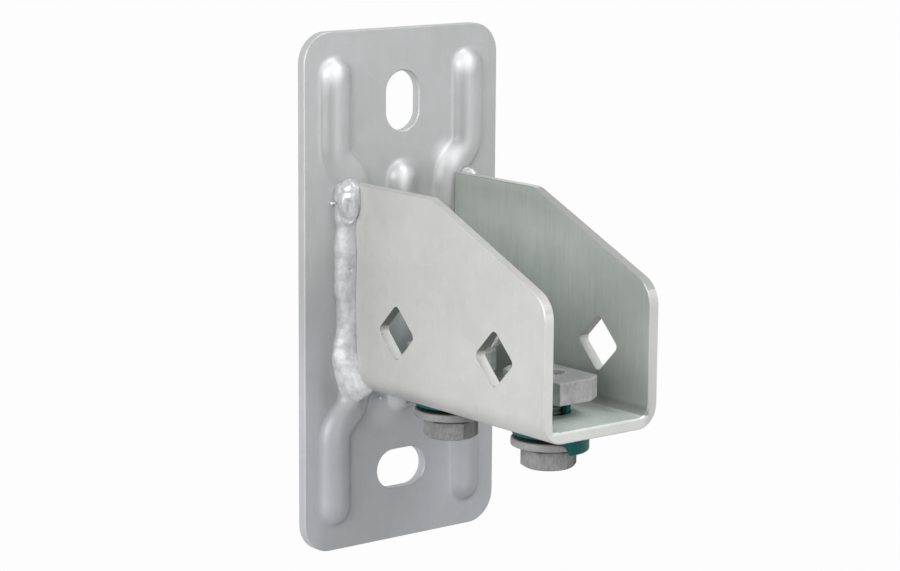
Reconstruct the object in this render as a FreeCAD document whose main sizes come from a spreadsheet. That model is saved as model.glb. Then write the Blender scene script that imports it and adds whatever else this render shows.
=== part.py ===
"""Wall bracket for a strut rail: a stamped wall plate, a bent channel welded to it, and two
quarter-turn clamps that hold the rail. Millimetres, +Z up, wall at y = 0, channel towards -Y."""
import FreeCAD, Part
import math
import os
import re
import Sketcher

# Driving sizes of the bracket. The plate's middle on the wall is the origin.
SIZES = [
    ("plate_width", 86, "wall plate, side to side"),
    ("plate_height", 186, "wall plate, top to bottom"),
    ("plate_thickness", 4, "sheet of the wall plate"),
    ("plate_corner_radius", 11, "outer corners of the wall plate"),
    ("slot_width", 14.5, "anchor slots, across"),
    ("slot_length", 21.5, "anchor slots, end to end"),
    ("slot_distance", 67, "plate's middle to the middle of each anchor slot"),
    ("slot_edge_chamfer", 0.4, "broken edge of the anchor slots"),
    ("rib_width", 13, "stamped ribs, across, at the plate's face"),
    ("rib_height", 3.7, "stamped ribs, above the plate's face"),
    ("rib_foot_radius", 1.5, "hollow curve where a rib leaves the plate"),
    ("rib_end_distance", 84, "plate's middle to the far end of the side ribs"),
    ("rib_outer_offset", 29.5, "plate's middle line to the side ribs' ends"),
    ("rib_bend_distance", 49, "plate's middle to where the side ribs turn in"),
    ("rib_bend_radius", 9, "turns of the side ribs, at their middle line"),
    ("middle_rib_end_distance", 46, "plate's middle to the ends of the middle rib"),
    ("groove_mouth", 0.5, "splayed edge of the grooves behind the ribs"),
    ("sheet_edge_chamfer", 0.35, "broken edges of the plate and the channel"),
    ("rail_gap", 42, "channel, inside width for the rail"),
    ("channel_thickness", 4, "sheet of the channel"),
    ("channel_bend_radius", 4, "inside radius of the channel's two bends"),
    ("channel_top", 40, "plate's middle up to the top of the channel"),
    ("channel_bottom", 34.5, "plate's middle down to the underside of the channel"),
    ("fit_up_gap", 0.1, "ribs to the channel's rear end, closed by the welds"),
    ("channel_length", 104.4, "channel, from its rear end to its nose"),
    ("nose_height", 48, "height of the channel's walls at the nose"),
    ("top_edge_length", 43.4, "level part of the channel's top edge"),
    ("nose_radius", 10, "rounded corner at the nose"),
    ("slope_radius", 7, "rounded corner where the top edge starts to fall"),
    ("window_side", 14.5, "square windows in the channel's walls"),
    ("window_corner_radius", 2, "corners of the windows"),
    ("window_height", 25, "middle of the windows above the channel's underside"),
    ("first_clamp_distance", 32.6, "wall to the rear clamp"),
    ("clamp_pitch", 53.2, "rear clamp to front clamp"),
    ("window_lead", 0.6, "middle of each window, nearer the nose than its clamp"),
    ("clamp_hole_diameter", 15, "holes for the clamps in the channel's web"),
    ("bolt_diameter", 10, "clamp bolts, shank"),
    ("thread_diameter", 9, "clamp bolts and nut plates, pitch diameter where they engage"),
    ("bolt_length", 24.2, "clamp bolts, under the head"),
    ("bolt_tip_chamfer", 1, "tip of the clamp bolts"),
    ("head_across_flats", 17, "hexagon heads"),
    ("head_height", 7.6, "hexagon heads"),
    ("head_face_diameter", 16.2, "flat disc left by the bevel on the head's outer face"),
    ("head_bevel_angle", 30, "bevel round the head's outer face, in degrees"),
    ("washer_diameter", 26, "washers, outside"),
    ("washer_hole_diameter", 10.5, "washers, inside"),
    ("washer_thickness", 2.7, "washers"),
    ("washer_edge_chamfer", 0.3, "broken rim of the washers"),
    ("washer_gap", 1.2, "retainer's flange down to the washer"),
    ("flange_diameter", 26, "retainers, flange under the web"),
    ("flange_thickness", 3.5, "retainers, flange under the web"),
    ("sleeve_clearance", 0.2, "retainer's sleeve inside its hole in the web, all round"),
    ("sleeve_rise", 5.6, "retainer's sleeve above the web"),
    ("bolt_running_clearance", 0.08, "bolt inside the retainer's sleeve, all round"),
    ("skirt_clearance", 0.3, "washer to the retainer's skirt"),
    ("skirt_thickness", 0.5, "retainer's skirt"),
    ("skirt_bridge", 0.7, "how far the skirt's root runs into the flange"),
    ("skirt_drop", 0.4, "web's underside down to the skirt"),
    ("skirt_lip", 0.9, "hook of the skirt under the washer"),
    ("skirt_lip_gap", 0.3, "washer down to the hook"),
    ("skirt_lip_height", 0.9, "hook of the skirt, up and down"),
    ("skirt_bevel", 0.8, "bevel round the foot of the skirt"),
    ("skirt_sweep", 150, "part of the turn that the retainer's skirt covers, in degrees"),
    ("sleeve_sweep", 112, "part of the turn that the retainer's sleeve covers, in degrees"),
    ("nut_width", 19.6, "nut plates, across"),
    ("nut_length", 32.9, "nut plates, along"),
    ("nut_thickness", 7.8, "nut plates"),
    ("nut_corner_across", 5.6, "two cut corners that lead when a nut plate turns, across"),
    ("nut_corner_along", 3, "two cut corners that lead when a nut plate turns, along"),
    ("nut_edge_chamfer", 0.5, "broken edges of the nut plates"),
    ("nut_countersink", 0.4, "broken upper edge of the tapped hole in the nut plates"),
    ("nut_clearance", 0.2, "top of the sleeve to the nut plate"),
    ("weld_wall_leg", 3.4, "weld, along the channel's wall from its end"),
    ("weld_plate_leg", 4.4, "weld, along the plate from the channel's wall"),
    ("weld_crown", 1.1, "swelling of the weld's face"),
    ("weld_root", 1.2, "depth of the weld behind the channel's wall"),
    ("weld_top_drop", 2, "channel's top edge down to the middle of the weld's top lump"),
    ("weld_top_blob", 4.6, "radius of the lump at the weld's top"),
    ("weld_top_blob_out", 1.4, "middle of the top lump, out from the channel's wall"),
    ("weld_top_blob_back", 0.7, "middle of the top lump, behind the channel's rear end"),
    ("weld_foot_blob", 3.4, "radius of the lump at the weld's foot"),
    ("weld_foot_blob_out", 1.6, "middle of the foot lump, out from the channel's bend"),
    ("weld_foot_blob_forward", 0.8, "middle of the foot lump, forward of the channel's rear end"),
    ("weld_foot_sweep", 62, "how far the weld goes round the channel's bend, in degrees"),
]

# Turn of each clamp's pieces about its own axis, in degrees, as they stand in the photograph.
CLAMPS = {
    "rear": {"step": 0, "head_turn": -11, "skirt_turn": 32},
    "front": {"step": 1, "head_turn": 0, "skirt_turn": -28},
}
WELD_SIDES = {"left": -1, "right": 1}

document = FreeCAD.newDocument("wall_bracket")
sheet = document.addObject("Spreadsheet::Sheet", "Sizes")
for row, (alias, number, note) in enumerate(SIZES, start=1):
    sheet.set(f"A{row}", note)
    sheet.set(f"B{row}", str(number))
    sheet.setAlias(f"B{row}", alias)
document.recompute()
ALIASES = {alias for alias, number, note in SIZES}

# Places that more than one piece shares, each in terms of the driving sizes.
CREST = "(plate_thickness + rib_height)"
RIB_RADIUS = "((rib_width ^ 2 / 4 + rib_height ^ 2) / (2 * rib_height))"
RIB_AXIS_DEPTH = f"({CREST} - {RIB_RADIUS})"
GROOVE_RADIUS = f"({RIB_RADIUS} - plate_thickness)"
FOOT_DEPTH = f"(plate_thickness + rib_foot_radius - {RIB_AXIS_DEPTH})"
FOOT_OFFSET = f"(sqrt(({RIB_RADIUS} + rib_foot_radius) ^ 2 - {FOOT_DEPTH} ^ 2))"
FOOT_SHARE = f"({RIB_RADIUS} / ({RIB_RADIUS} + rib_foot_radius))"
RIB_INNER_OFFSET = "(rail_gap / 2)"
RIB_END_MIDDLE = "(rib_end_distance - rib_width / 2)"
MIDDLE_RIB_END_MIDDLE = "(middle_rib_end_distance - rib_width / 2)"
WALL_OUTSIDE = "(rail_gap / 2 + channel_thickness)"
BEND_OUTSIDE_RADIUS = "(channel_bend_radius + channel_thickness)"
CHANNEL_REAR = f"({CREST} + fit_up_gap)"
NOSE_DEPTH = f"({CHANNEL_REAR} + channel_length)"
NOSE_TOP = "(nose_height - channel_bottom)"
SLOPE_DEPTH = f"({CHANNEL_REAR} + top_edge_length)"
WINDOW_LEVEL = "(window_height - channel_bottom)"
WINDOW_HALF_DIAGONAL = "(window_side / sqrt(2))"
BEND_MIDDLE_OFFSET = f"({WALL_OUTSIDE} - {BEND_OUTSIDE_RADIUS})"
BEND_MIDDLE_LEVEL = f"({BEND_OUTSIDE_RADIUS} - channel_bottom)"
HALF_ACROSS_CORNERS = "(head_across_flats / 2 / cos(30))"
SLEEVE_RADIUS = "(clamp_hole_diameter / 2 - sleeve_clearance)"
WASHER_TOP = "(-flange_thickness - washer_gap)"
WASHER_BOTTOM = f"({WASHER_TOP} - washer_thickness)"
SLEEVE_TOP = "(channel_thickness + sleeve_rise)"
NUT_BOTTOM = f"({SLEEVE_TOP} + nut_clearance)"
NUT_TOP = f"({NUT_BOTTOM} + nut_thickness)"
SKIRT_INSIDE = "(washer_diameter / 2 + skirt_clearance)"
SKIRT_OUTSIDE = f"({SKIRT_INSIDE} + skirt_thickness)"
LIP_TOP = f"({WASHER_BOTTOM} - skirt_lip_gap)"


def bound(text):
    """The same expression with each size pointed at its cell."""
    return re.sub(r"[a-z_]+", lambda found: "Sizes." + found[0] if found[0] in ALIASES else found[0], text)


def size(text):
    """The present value of an expression of sizes."""
    return float(sheet.evalExpression(text))


def new_body(label):
    body = document.addObject("PartDesign::Body", label)
    body.Label = label
    return body


def origin_part(body, role):
    return next(feature for feature in body.Origin.OriginFeatures if feature.Role == role)


def new_sketch(body, name, role, shift=("0", "0", "0")):
    """Sketch on one of the body's own origin planes, moved by three expressions."""
    sketch = body.newObject("Sketcher::SketchObject", name)
    sketch.AttachmentSupport = (origin_part(body, role), [""])
    sketch.MapMode = "FlatFace"
    for axis, text in zip("xyz", shift):
        if text != "0":
            sketch.setExpression("AttachmentOffset.Base." + axis, bound(text))
    return sketch


def spot(corner):
    return FreeCAD.Vector(size(corner[0]), size(corner[1]), 0)


def pin(sketch, edge, end, corner, axes="XY"):
    """Ties one end of an edge, or its middle (end 3), to expressions of the sizes."""
    for axis, text in zip("XY", corner):
        if axis not in axes:
            continue
        number = sketch.addConstraint(Sketcher.Constraint("Distance" + axis, -1, 1, edge, end, size(text)))
        name = f"at_{edge}_{end}_{axis}"
        sketch.renameConstraint(number, name)
        sketch.setExpression("Constraints." + name, bound(text))


def set_radius(sketch, edge, text):
    number = sketch.addConstraint(Sketcher.Constraint("Radius", edge, size(text)))
    name = f"radius_{edge}"
    sketch.renameConstraint(number, name)
    sketch.setExpression("Constraints." + name, bound(text))


def add_outline(sketch, corners):
    """Closed outline of straight edges; each corner is a pair of expressions."""
    first = sketch.GeometryCount
    count = len(corners)
    for index in range(count):
        start = spot(corners[index])
        end = spot(corners[(index + 1) % count])
        sketch.addGeometry(Part.LineSegment(start, end), False)
    for index, corner in enumerate(corners):
        following = first + (index + 1) % count
        sketch.addConstraint(Sketcher.Constraint("Coincident", first + index, 2, following, 1))
        pin(sketch, first + index, 1, corner)


def add_circle(sketch, centre, radius):
    edge = sketch.addGeometry(Part.Circle(spot(centre), FreeCAD.Vector(0, 0, 1), size(radius)), False)
    pin(sketch, edge, 3, centre)
    set_radius(sketch, edge, radius)


def add_open_outline(sketch, corners):
    """Straight edges from corner to corner, left open for an arc; returns the last edge."""
    first = sketch.GeometryCount
    for start, end in zip(corners, corners[1:]):
        edge = sketch.addGeometry(Part.LineSegment(spot(start), spot(end)), False)
        pin(sketch, edge, 1, start)
        if edge > first:
            sketch.addConstraint(Sketcher.Constraint("Coincident", edge - 1, 2, edge, 1))
    pin(sketch, edge, 2, corners[-1])
    return edge


def nearest_end(sketch, edge, target):
    """Which end of an edge, 1 or 2, lies nearest a point."""
    gaps = [sketch.getPoint(edge, end).distanceToPoint(target) for end in (1, 2)]
    return 1 + gaps.index(min(gaps))


def tie(sketch, arc, place):
    """Ties the nearer end of an arc to a given (edge, end)."""
    arc_end = nearest_end(sketch, arc, sketch.getPoint(*place))
    sketch.addConstraint(Sketcher.Constraint("Coincident", arc, arc_end, *place))


def add_slot(sketch, centre, upright):
    """Obround hole: two straight sides and two round ends."""
    half_width = "slot_width / 2"
    half_run = "(slot_length - slot_width) / 2"
    x, y = centre

    def place(along, across):
        if upright:
            return (f"{x} + {across}", f"{y} + {along}")
        return (f"{x} + {along}", f"{y} - {across}")

    ends = []
    for way in ("1", "-1"):
        low = place(f"{way} * {half_run}", f"-1 * {half_width}")
        high = place(f"{way} * {half_run}", half_width)
        tip = place(f"{way} * slot_length / 2", "0")
        edge = sketch.addGeometry(Part.Arc(spot(low), spot(tip), spot(high)), False)
        pin(sketch, edge, 3, place(f"{way} * {half_run}", "0"))
        set_radius(sketch, edge, half_width)
        ends.append((edge, low, high))
    for side in (1, 2):
        line = sketch.addGeometry(Part.LineSegment(spot(ends[0][side]), spot(ends[1][side])), False)
        for end, (edge, low, high) in zip((1, 2), ends):
            arc_end = nearest_end(sketch, edge, sketch.getPoint(line, end))
            sketch.addConstraint(Sketcher.Constraint("Tangent", line, end, edge, arc_end))


def feature(body, kind, name, sketch, **settings):
    """A feature of the body made from a sketch; text settings are expressions."""
    item = body.newObject("PartDesign::" + kind, name)
    if sketch is not None:
        item.Profile = sketch
    for key, setting in settings.items():
        if isinstance(setting, str) and key in ("Length", "Angle", "Radius", "Size"):
            item.setExpression(key, bound(setting))
        else:
            setattr(item, key, setting)
    return item


def dress(body, kind, name, base, edges, text):
    """Fillet or Chamfer of the named edges of a feature."""
    key = "Radius" if kind == "Fillet" else "Size"
    item = body.newObject("PartDesign::" + kind, name)
    item.Base = (base, edges)
    item.setExpression(key, bound(text))
    document.recompute()
    return item


def edges_where(shape, test):
    """Names of the edges whose middle point, direction and length pass a test."""
    names = []
    for number, edge in enumerate(shape.Edges, start=1):
        if edge.Length < 1e-6 or edge.Degenerated:
            continue
        low, high = edge.ParameterRange
        middle = edge.valueAt((low + high) / 2)
        tangent = edge.tangentAt((low + high) / 2)
        if test(middle, tangent, edge):
            names.append(f"Edge{number}")
    return names


def near(first, second):
    return abs(first - second) < 1e-3


def make_wall_plate():
    """Stamped plate: rounded blank, five ribs in front with their grooves behind, two anchor slots."""
    body = new_body("wall_plate")
    blank = new_sketch(body, "blank_outline", "XZ_Plane")
    half_width = "plate_width / 2"
    half_height = "plate_height / 2"
    add_outline(blank, [(f"-{half_width}", f"-{half_height}"), (half_width, f"-{half_height}"),
                        (half_width, half_height), (f"-{half_width}", half_height)])
    pad = feature(body, "Pad", "blank", blank, Length="plate_thickness")
    document.recompute()
    corners = edges_where(pad.Shape, lambda middle, tangent, edge: abs(tangent.y) > 0.9)
    rounded = dress(body, "Fillet", "blank_corners", pad, corners, "plate_corner_radius")
    rim = edges_where(rounded.Shape, lambda middle, tangent, edge: abs(tangent.y) < 0.1)
    dress(body, "Chamfer", "blank_rim", rounded, rim, "sheet_edge_chamfer")

    spine = new_sketch(body, "side_rib_line", "XZ_Plane")
    add_side_rib_line(spine)
    ribs = {"side": [(FOOT_OFFSET, "-plate_thickness"), (FOOT_OFFSET, "-plate_thickness / 2")],
            "crest": f"-{CREST}", "radius": RIB_RADIUS,
            "spring": (f"({FOOT_OFFSET} * {FOOT_SHARE})",
                       f"-({RIB_AXIS_DEPTH} + {FOOT_DEPTH} * {FOOT_SHARE})")}
    add_ribs(body, "rib", ("AdditivePipe", "Revolution", "Pad"), spine, ribs)

    inside = f"sqrt({GROOVE_RADIUS} ^ 2 - groove_mouth ^ 2)"
    outside = f"({inside} + {RIB_AXIS_DEPTH} + groove_mouth)"
    grooves = {"side": [(inside, f"-{RIB_AXIS_DEPTH} - groove_mouth"),
                        (outside, "0"), (outside, "plate_thickness")],
               "crest": "-rib_height", "radius": GROOVE_RADIUS}
    add_ribs(body, "groove", ("SubtractivePipe", "Groove", "Pocket"), spine, grooves)

    slots = new_sketch(body, "slot_outlines", "XZ_Plane")
    add_slot(slots, ("0", "slot_distance"), upright=True)
    add_slot(slots, ("0", "-slot_distance"), upright=False)
    pocket = feature(body, "Pocket", "anchor_slots", slots, Type="ThroughAll", Midplane=True)
    document.recompute()
    reach = size("slot_length / 2 + slot_edge_chamfer")
    level = size("slot_distance")
    edges = edges_where(pocket.Shape, lambda middle, tangent, edge: abs(tangent.y) < 0.1
                        and math.hypot(middle.x, abs(middle.z) - level) < reach)
    dress(body, "Chamfer", "anchor_slot_edges", pocket, edges, "slot_edge_chamfer")
    return body


def add_side_rib_line(sketch):
    """Middle line of half a side rib: beside the channel, kinked out, straight to its end."""
    turn = "rib_bend_radius * tan(45 / 2)"
    rise = "rib_bend_radius * sin(45)"
    shift = "rib_bend_radius * (1 - cos(45))"
    low_turn = f"(rib_bend_distance - rib_outer_offset + {RIB_INNER_OFFSET} - {turn})"
    high_turn = f"(rib_bend_distance + {turn})"
    route = [
        (RIB_INNER_OFFSET, "0"),
        (RIB_INNER_OFFSET, low_turn),
        (f"{RIB_INNER_OFFSET} + {shift}", f"{low_turn} + {rise}"),
        (f"rib_outer_offset - {shift}", f"{high_turn} - {rise}"),
        ("rib_outer_offset", high_turn),
        ("rib_outer_offset", RIB_END_MIDDLE),
    ]
    centres = [(f"{RIB_INNER_OFFSET} + rib_bend_radius", low_turn),
               ("rib_outer_offset - rib_bend_radius", high_turn)]
    add_kinked_line(sketch, route, centres)


def add_kinked_line(sketch, route, centres):
    """Straight runs joined by tangent arcs; each arc takes the next of the centres."""
    lines = []
    for start, end in zip(route[::2], route[1::2]):
        edge = sketch.addGeometry(Part.LineSegment(spot(start), spot(end)), False)
        pin(sketch, edge, 1, start)
        pin(sketch, edge, 2, end)
        lines.append(edge)
    for before, after, centre in zip(lines, lines[1:], centres):
        first = sketch.Geometry[before].EndPoint
        last = sketch.Geometry[after].StartPoint
        hub = spot(centre)
        middle = hub + ((first + last) / 2 - hub).normalize() * (first - hub).Length
        arc = sketch.addGeometry(Part.Arc(first, middle, last), False)
        pin(sketch, arc, 3, centre, "X")
        tie(sketch, arc, (before, 2))
        tie(sketch, arc, (after, 1))


def add_ribs(body, name, kinds, spine, profile):
    """Two side ribs and the middle rib, raised or sunk, all of one profile."""
    run_kind, end_kind, straight_kind = kinds
    section = new_sketch(body, f"side_{name}_section", "XY_Plane")
    add_rib_section(section, RIB_INNER_OFFSET, profile)
    run = feature(body, run_kind, f"side_{name}", section, Spine=spine)
    document.recompute()
    end_section = new_sketch(body, f"side_{name}_end_section", "XY_Plane",
                             ("rib_outer_offset", "0", RIB_END_MIDDLE))
    add_half_rib_section(end_section, profile)
    end = feature(body, end_kind, f"side_{name}_end", end_section, Angle="360",
                  ReferenceAxis=(end_section, ["V_Axis"]))
    document.recompute()
    mirror_all_ways(body, f"side_{name}s", [run, end])

    middle_section = new_sketch(body, f"middle_{name}_section", "XY_Plane")
    add_rib_section(middle_section, "0", profile)
    feature(body, straight_kind, f"middle_{name}", middle_section, Midplane=True,
            Length=f"2 * {MIDDLE_RIB_END_MIDDLE}")
    document.recompute()
    for place, way in (("upper", ""), ("lower", "-")):
        end_section = new_sketch(body, f"middle_{name}_{place}_section", "XY_Plane",
                                 ("0", "0", way + MIDDLE_RIB_END_MIDDLE))
        add_half_rib_section(end_section, profile)
        feature(body, end_kind, f"middle_{name}_{place}_end", end_section, Angle="360",
                ReferenceAxis=(end_section, ["V_Axis"]))
        document.recompute()


def add_rib_section(sketch, middle_line, profile):
    """Round-backed section across a rib's run, with hollow feet where the profile has them."""
    corners = [(f"{middle_line} - {across}", level) for across, level in profile["side"]]
    corners += [(f"{middle_line} + {across}", level) for across, level in reversed(profile["side"])]
    last = add_open_outline(sketch, corners)
    springs = [corners[0], corners[-1]]
    if "spring" in profile:
        across, level = profile["spring"]
        springs = [(f"{middle_line} - {across}", level), (f"{middle_line} + {across}", level)]
    back = sketch.addGeometry(Part.Arc(spot(springs[0]), spot((middle_line, profile["crest"])),
                                       spot(springs[1])), False)
    pin(sketch, back, 3, (middle_line, f"-{RIB_AXIS_DEPTH}"), "Y")
    for line, line_end, spring, way in ((0, 1, springs[0], "-1"), (last, 2, springs[1], "1")):
        if "spring" in profile:
            add_foot(sketch, (line, line_end), back, spring, (middle_line, way))
        else:
            tie(sketch, back, (line, line_end))


def add_half_rib_section(sketch, profile):
    """Half of a rib's section, to be turned about the sketch's upright axis."""
    root = profile["side"][-1][1]
    corners = [("0", profile["crest"]), ("0", root), *reversed(profile["side"])]
    last = add_open_outline(sketch, corners)
    spring = profile.get("spring", corners[-1])
    lean = f"(asin({spring[0]} / {profile['radius']}) / 2)"
    middle = (f"{profile['radius']} * sin{lean}", f"-{RIB_AXIS_DEPTH} - {profile['radius']} * cos{lean}")
    back = sketch.addGeometry(Part.Arc(spot(corners[0]), spot(middle), spot(spring)), False)
    pin(sketch, back, 3, ("0", "0"), "X")
    tie(sketch, back, (0, 1))
    if "spring" in profile:
        add_foot(sketch, (last, 2), back, spring, ("0", "1"))
    else:
        tie(sketch, back, (last, 2))


def add_foot(sketch, shoulder, back, spring, place):
    """Hollow curve from the plate's face up to the round back of a rib."""
    middle_line, way = place
    half_lean = f"(asin({FOOT_OFFSET} / ({RIB_RADIUS} + rib_foot_radius)) / 2)"
    hub = (f"{middle_line} + {way} * {FOOT_OFFSET}", "-plate_thickness - rib_foot_radius")
    middle = (f"{middle_line} + {way} * ({FOOT_OFFSET} - rib_foot_radius * sin{half_lean})",
              f"-plate_thickness - rib_foot_radius * (1 - cos{half_lean})")
    start = (hub[0], "-plate_thickness")
    foot = sketch.addGeometry(Part.Arc(spot(start), spot(middle), spot(spring)), False)
    pin(sketch, foot, 3, hub, "Y")
    tie(sketch, foot, shoulder)
    back_end = nearest_end(sketch, back, spot(spring))
    pin(sketch, back, back_end, spring)
    tie(sketch, foot, (back, back_end))


def mirror_all_ways(body, name, originals):
    """Copies features to the other three quarters of the plate."""
    both = body.newObject("PartDesign::MultiTransform", name)
    both.Originals = originals
    steps = []
    for way, role in (("across", "YZ_Plane"), ("down", "XY_Plane")):
        step = document.addObject("PartDesign::Mirrored", f"{name}_{way}")
        body.addObject(step)
        step.MirrorPlane = (origin_part(body, role), [""])
        steps.append(step)
    both.Transformations = steps
    body.Tip = both
    document.recompute()


def make_channel():
    """Bent sheet, open at the top, with a falling top edge, four windows and two clamp holes."""
    body = new_body("channel")
    section = new_sketch(body, "channel_section", "XZ_Plane", ("0", "0", CHANNEL_REAR))
    inside = "rail_gap / 2"
    web_top = "channel_thickness - channel_bottom"
    add_outline(section, [(f"-{WALL_OUTSIDE}", "-channel_bottom"), (WALL_OUTSIDE, "-channel_bottom"),
                          (WALL_OUTSIDE, "channel_top"), (inside, "channel_top"),
                          (inside, web_top), (f"-{inside}", web_top),
                          (f"-{inside}", "channel_top"), (f"-{WALL_OUTSIDE}", "channel_top")])
    pad = feature(body, "Pad", "bent_sheet", section, Length="channel_length")
    document.recompute()
    underside = -size("channel_bottom")
    outer = edges_where(pad.Shape, lambda middle, tangent, edge: abs(tangent.y) > 0.9
                        and near(middle.z, underside))
    bend = dress(body, "Fillet", "bends_outside", pad, outer, BEND_OUTSIDE_RADIUS)
    floor = size(web_top)
    inner = edges_where(bend.Shape, lambda middle, tangent, edge: abs(tangent.y) > 0.9
                        and near(middle.z, floor) and near(abs(middle.x), size(inside)))
    dress(body, "Fillet", "bends_inside", bend, inner, "channel_bend_radius")

    slope = new_sketch(body, "slope_outline", "YZ_Plane")
    beyond = f"(-{NOSE_DEPTH} - channel_thickness)"
    above = "(channel_top + channel_thickness)"
    fall = f"((channel_top - {NOSE_TOP}) / ({NOSE_DEPTH} - {SLOPE_DEPTH}))"
    add_outline(slope, [(f"-{SLOPE_DEPTH}", "channel_top"),
                        (f"-{SLOPE_DEPTH}", above),
                        (beyond, above),
                        (beyond, f"{NOSE_TOP} - channel_thickness * {fall}")])
    cut = feature(body, "Pocket", "slope", slope, Type="ThroughAll", Midplane=True)
    document.recompute()
    corner = edges_where(cut.Shape, lambda middle, tangent, edge: abs(tangent.x) > 0.9
                         and near(middle.y, -size(SLOPE_DEPTH)) and near(middle.z, size("channel_top")))
    eased = dress(body, "Fillet", "slope_start", cut, corner, "slope_radius")
    tip = edges_where(eased.Shape, lambda middle, tangent, edge: abs(tangent.x) > 0.9
                      and near(middle.y, -size(NOSE_DEPTH)) and near(middle.z, size(NOSE_TOP)))
    nose = dress(body, "Fillet", "nose_corners", eased, tip, "nose_radius")
    rim = edges_where(nose.Shape, is_channel_rim)
    dress(body, "Chamfer", "channel_rim", nose, rim, "sheet_edge_chamfer")

    for name, data in CLAMPS.items():
        depth = f"-({clamp_depth(data['step'])} + window_lead)"
        window = new_sketch(body, f"window_{name}_outline", "YZ_Plane")
        add_outline(window, [(f"{depth} - {WINDOW_HALF_DIAGONAL}", WINDOW_LEVEL),
                             (depth, f"{WINDOW_LEVEL} - {WINDOW_HALF_DIAGONAL}"),
                             (f"{depth} + {WINDOW_HALF_DIAGONAL}", WINDOW_LEVEL),
                             (depth, f"{WINDOW_LEVEL} + {WINDOW_HALF_DIAGONAL}")])
        windows = feature(body, "Pocket", f"windows_{name}", window, Type="ThroughAll", Midplane=True)
        document.recompute()
        hub = FreeCAD.Vector(0, size(depth), size(WINDOW_LEVEL))
        reach = size(WINDOW_HALF_DIAGONAL)
        corners = edges_where(windows.Shape, lambda middle, tangent, edge: abs(tangent.x) > 0.9
                              and near(math.hypot(middle.y - hub.y, middle.z - hub.z), reach))
        dress(body, "Fillet", f"window_{name}_corners", windows, corners, "window_corner_radius")

    holes = new_sketch(body, "clamp_hole_outlines", "XY_Plane", ("0", "0", "-channel_bottom"))
    for data in CLAMPS.values():
        add_circle(holes, ("0", f"-({clamp_depth(data['step'])})"), "clamp_hole_diameter / 2")
    feature(body, "Pocket", "clamp_holes", holes, Type="Length", Midplane=True,
            Length="2 * (channel_thickness + channel_bend_radius)")
    document.recompute()
    return body


def is_channel_rim(middle, tangent, edge):
    """True for the edges round the sheet's cut rim, but not at its rear end or along its bends."""
    rear = -size(CHANNEL_REAR)
    wall = near(abs(middle.x), size(WALL_OUTSIDE)) or near(abs(middle.x), size("rail_gap / 2"))
    at_nose = near(middle.y, -size(NOSE_DEPTH)) and abs(tangent.y) < 0.1
    across_sheet = abs(tangent.x) > 0.9 and abs(middle.x) > size(BEND_MIDDLE_OFFSET)
    on_top = wall and abs(tangent.x) < 0.1 and middle.z > size(f"{BEND_MIDDLE_LEVEL} + sheet_edge_chamfer")
    return not near(middle.y, rear) and (on_top or at_nose and not across_sheet)


def clamp_depth(step):
    """Distance from the wall to a clamp's axis."""
    return f"first_clamp_distance + {step} * clamp_pitch"


def stand_on_clamp(body, step, turn):
    """Puts a clamp's piece on its axis, level with the web's underside, turned about that axis."""
    body.Placement = FreeCAD.Placement(FreeCAD.Vector(), FreeCAD.Rotation(FreeCAD.Vector(0, 0, 1), turn))
    body.setExpression("Placement.Base.y", bound(f"-({clamp_depth(step)})"))
    body.setExpression("Placement.Base.z", bound("-channel_bottom"))


def make_bolt(name):
    """Hexagon bolt: bevelled head, plain shank, thread as a plain cylinder of its pitch diameter."""
    body = new_body(f"bolt_{name}")
    face = f"({WASHER_BOTTOM} - head_height)"
    hexagon = new_sketch(body, f"head_{name}_outline", "XY_Plane", ("0", "0", face))
    corners = range(-90, 270, 60)
    add_outline(hexagon, [(f"{HALF_ACROSS_CORNERS} * cos({angle})", f"{HALF_ACROSS_CORNERS} * sin({angle})")
                          for angle in corners])
    feature(body, "Pad", f"head_{name}", hexagon, Length="head_height")
    document.recompute()

    bevel = new_sketch(body, f"head_{name}_bevel_section", "XZ_Plane")
    beyond = "head_across_flats"
    rise = f"(({beyond} - head_face_diameter / 2) * tan(head_bevel_angle))"
    add_outline(bevel, [("head_face_diameter / 2", face), (beyond, face), (beyond, f"{face} + {rise}")])
    feature(body, "Groove", f"head_{name}_bevel", bevel, Angle="360", ReferenceAxis=(bevel, ["V_Axis"]))
    document.recompute()

    for kind, diameter, length in (("shank", "bolt_diameter", f"{SLEEVE_TOP} - {WASHER_BOTTOM}"),
                                   ("thread", "thread_diameter", "bolt_length")):
        circle = new_sketch(body, f"{kind}_{name}_outline", "XY_Plane", ("0", "0", WASHER_BOTTOM))
        add_circle(circle, ("0", "0"), f"{diameter} / 2")
        rod = feature(body, "Pad", f"{kind}_{name}", circle, Length=length)
        document.recompute()
    top = size(f"{WASHER_BOTTOM} + bolt_length")
    rim = edges_where(rod.Shape, lambda middle, tangent, edge: near(middle.z, top))
    dress(body, "Chamfer", f"thread_{name}_tip", rod, rim, "bolt_tip_chamfer")
    return body


def make_washer(name):
    body = new_body(f"washer_{name}")
    ring = new_sketch(body, f"washer_{name}_section", "XZ_Plane")
    add_outline(ring, [("washer_hole_diameter / 2", WASHER_BOTTOM), ("washer_diameter / 2", WASHER_BOTTOM),
                       ("washer_diameter / 2", WASHER_TOP), ("washer_hole_diameter / 2", WASHER_TOP)])
    disc = feature(body, "Revolution", f"washer_{name}_disc", ring, Angle="360",
                   ReferenceAxis=(ring, ["V_Axis"]))
    document.recompute()
    outside = size("washer_diameter / 2")
    rim = edges_where(disc.Shape, lambda middle, tangent, edge: near(math.hypot(middle.x, middle.y), outside)
                      and abs(tangent.z) < 0.1)
    dress(body, "Chamfer", f"washer_{name}_rim", disc, rim, "washer_edge_chamfer")
    return body


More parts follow.
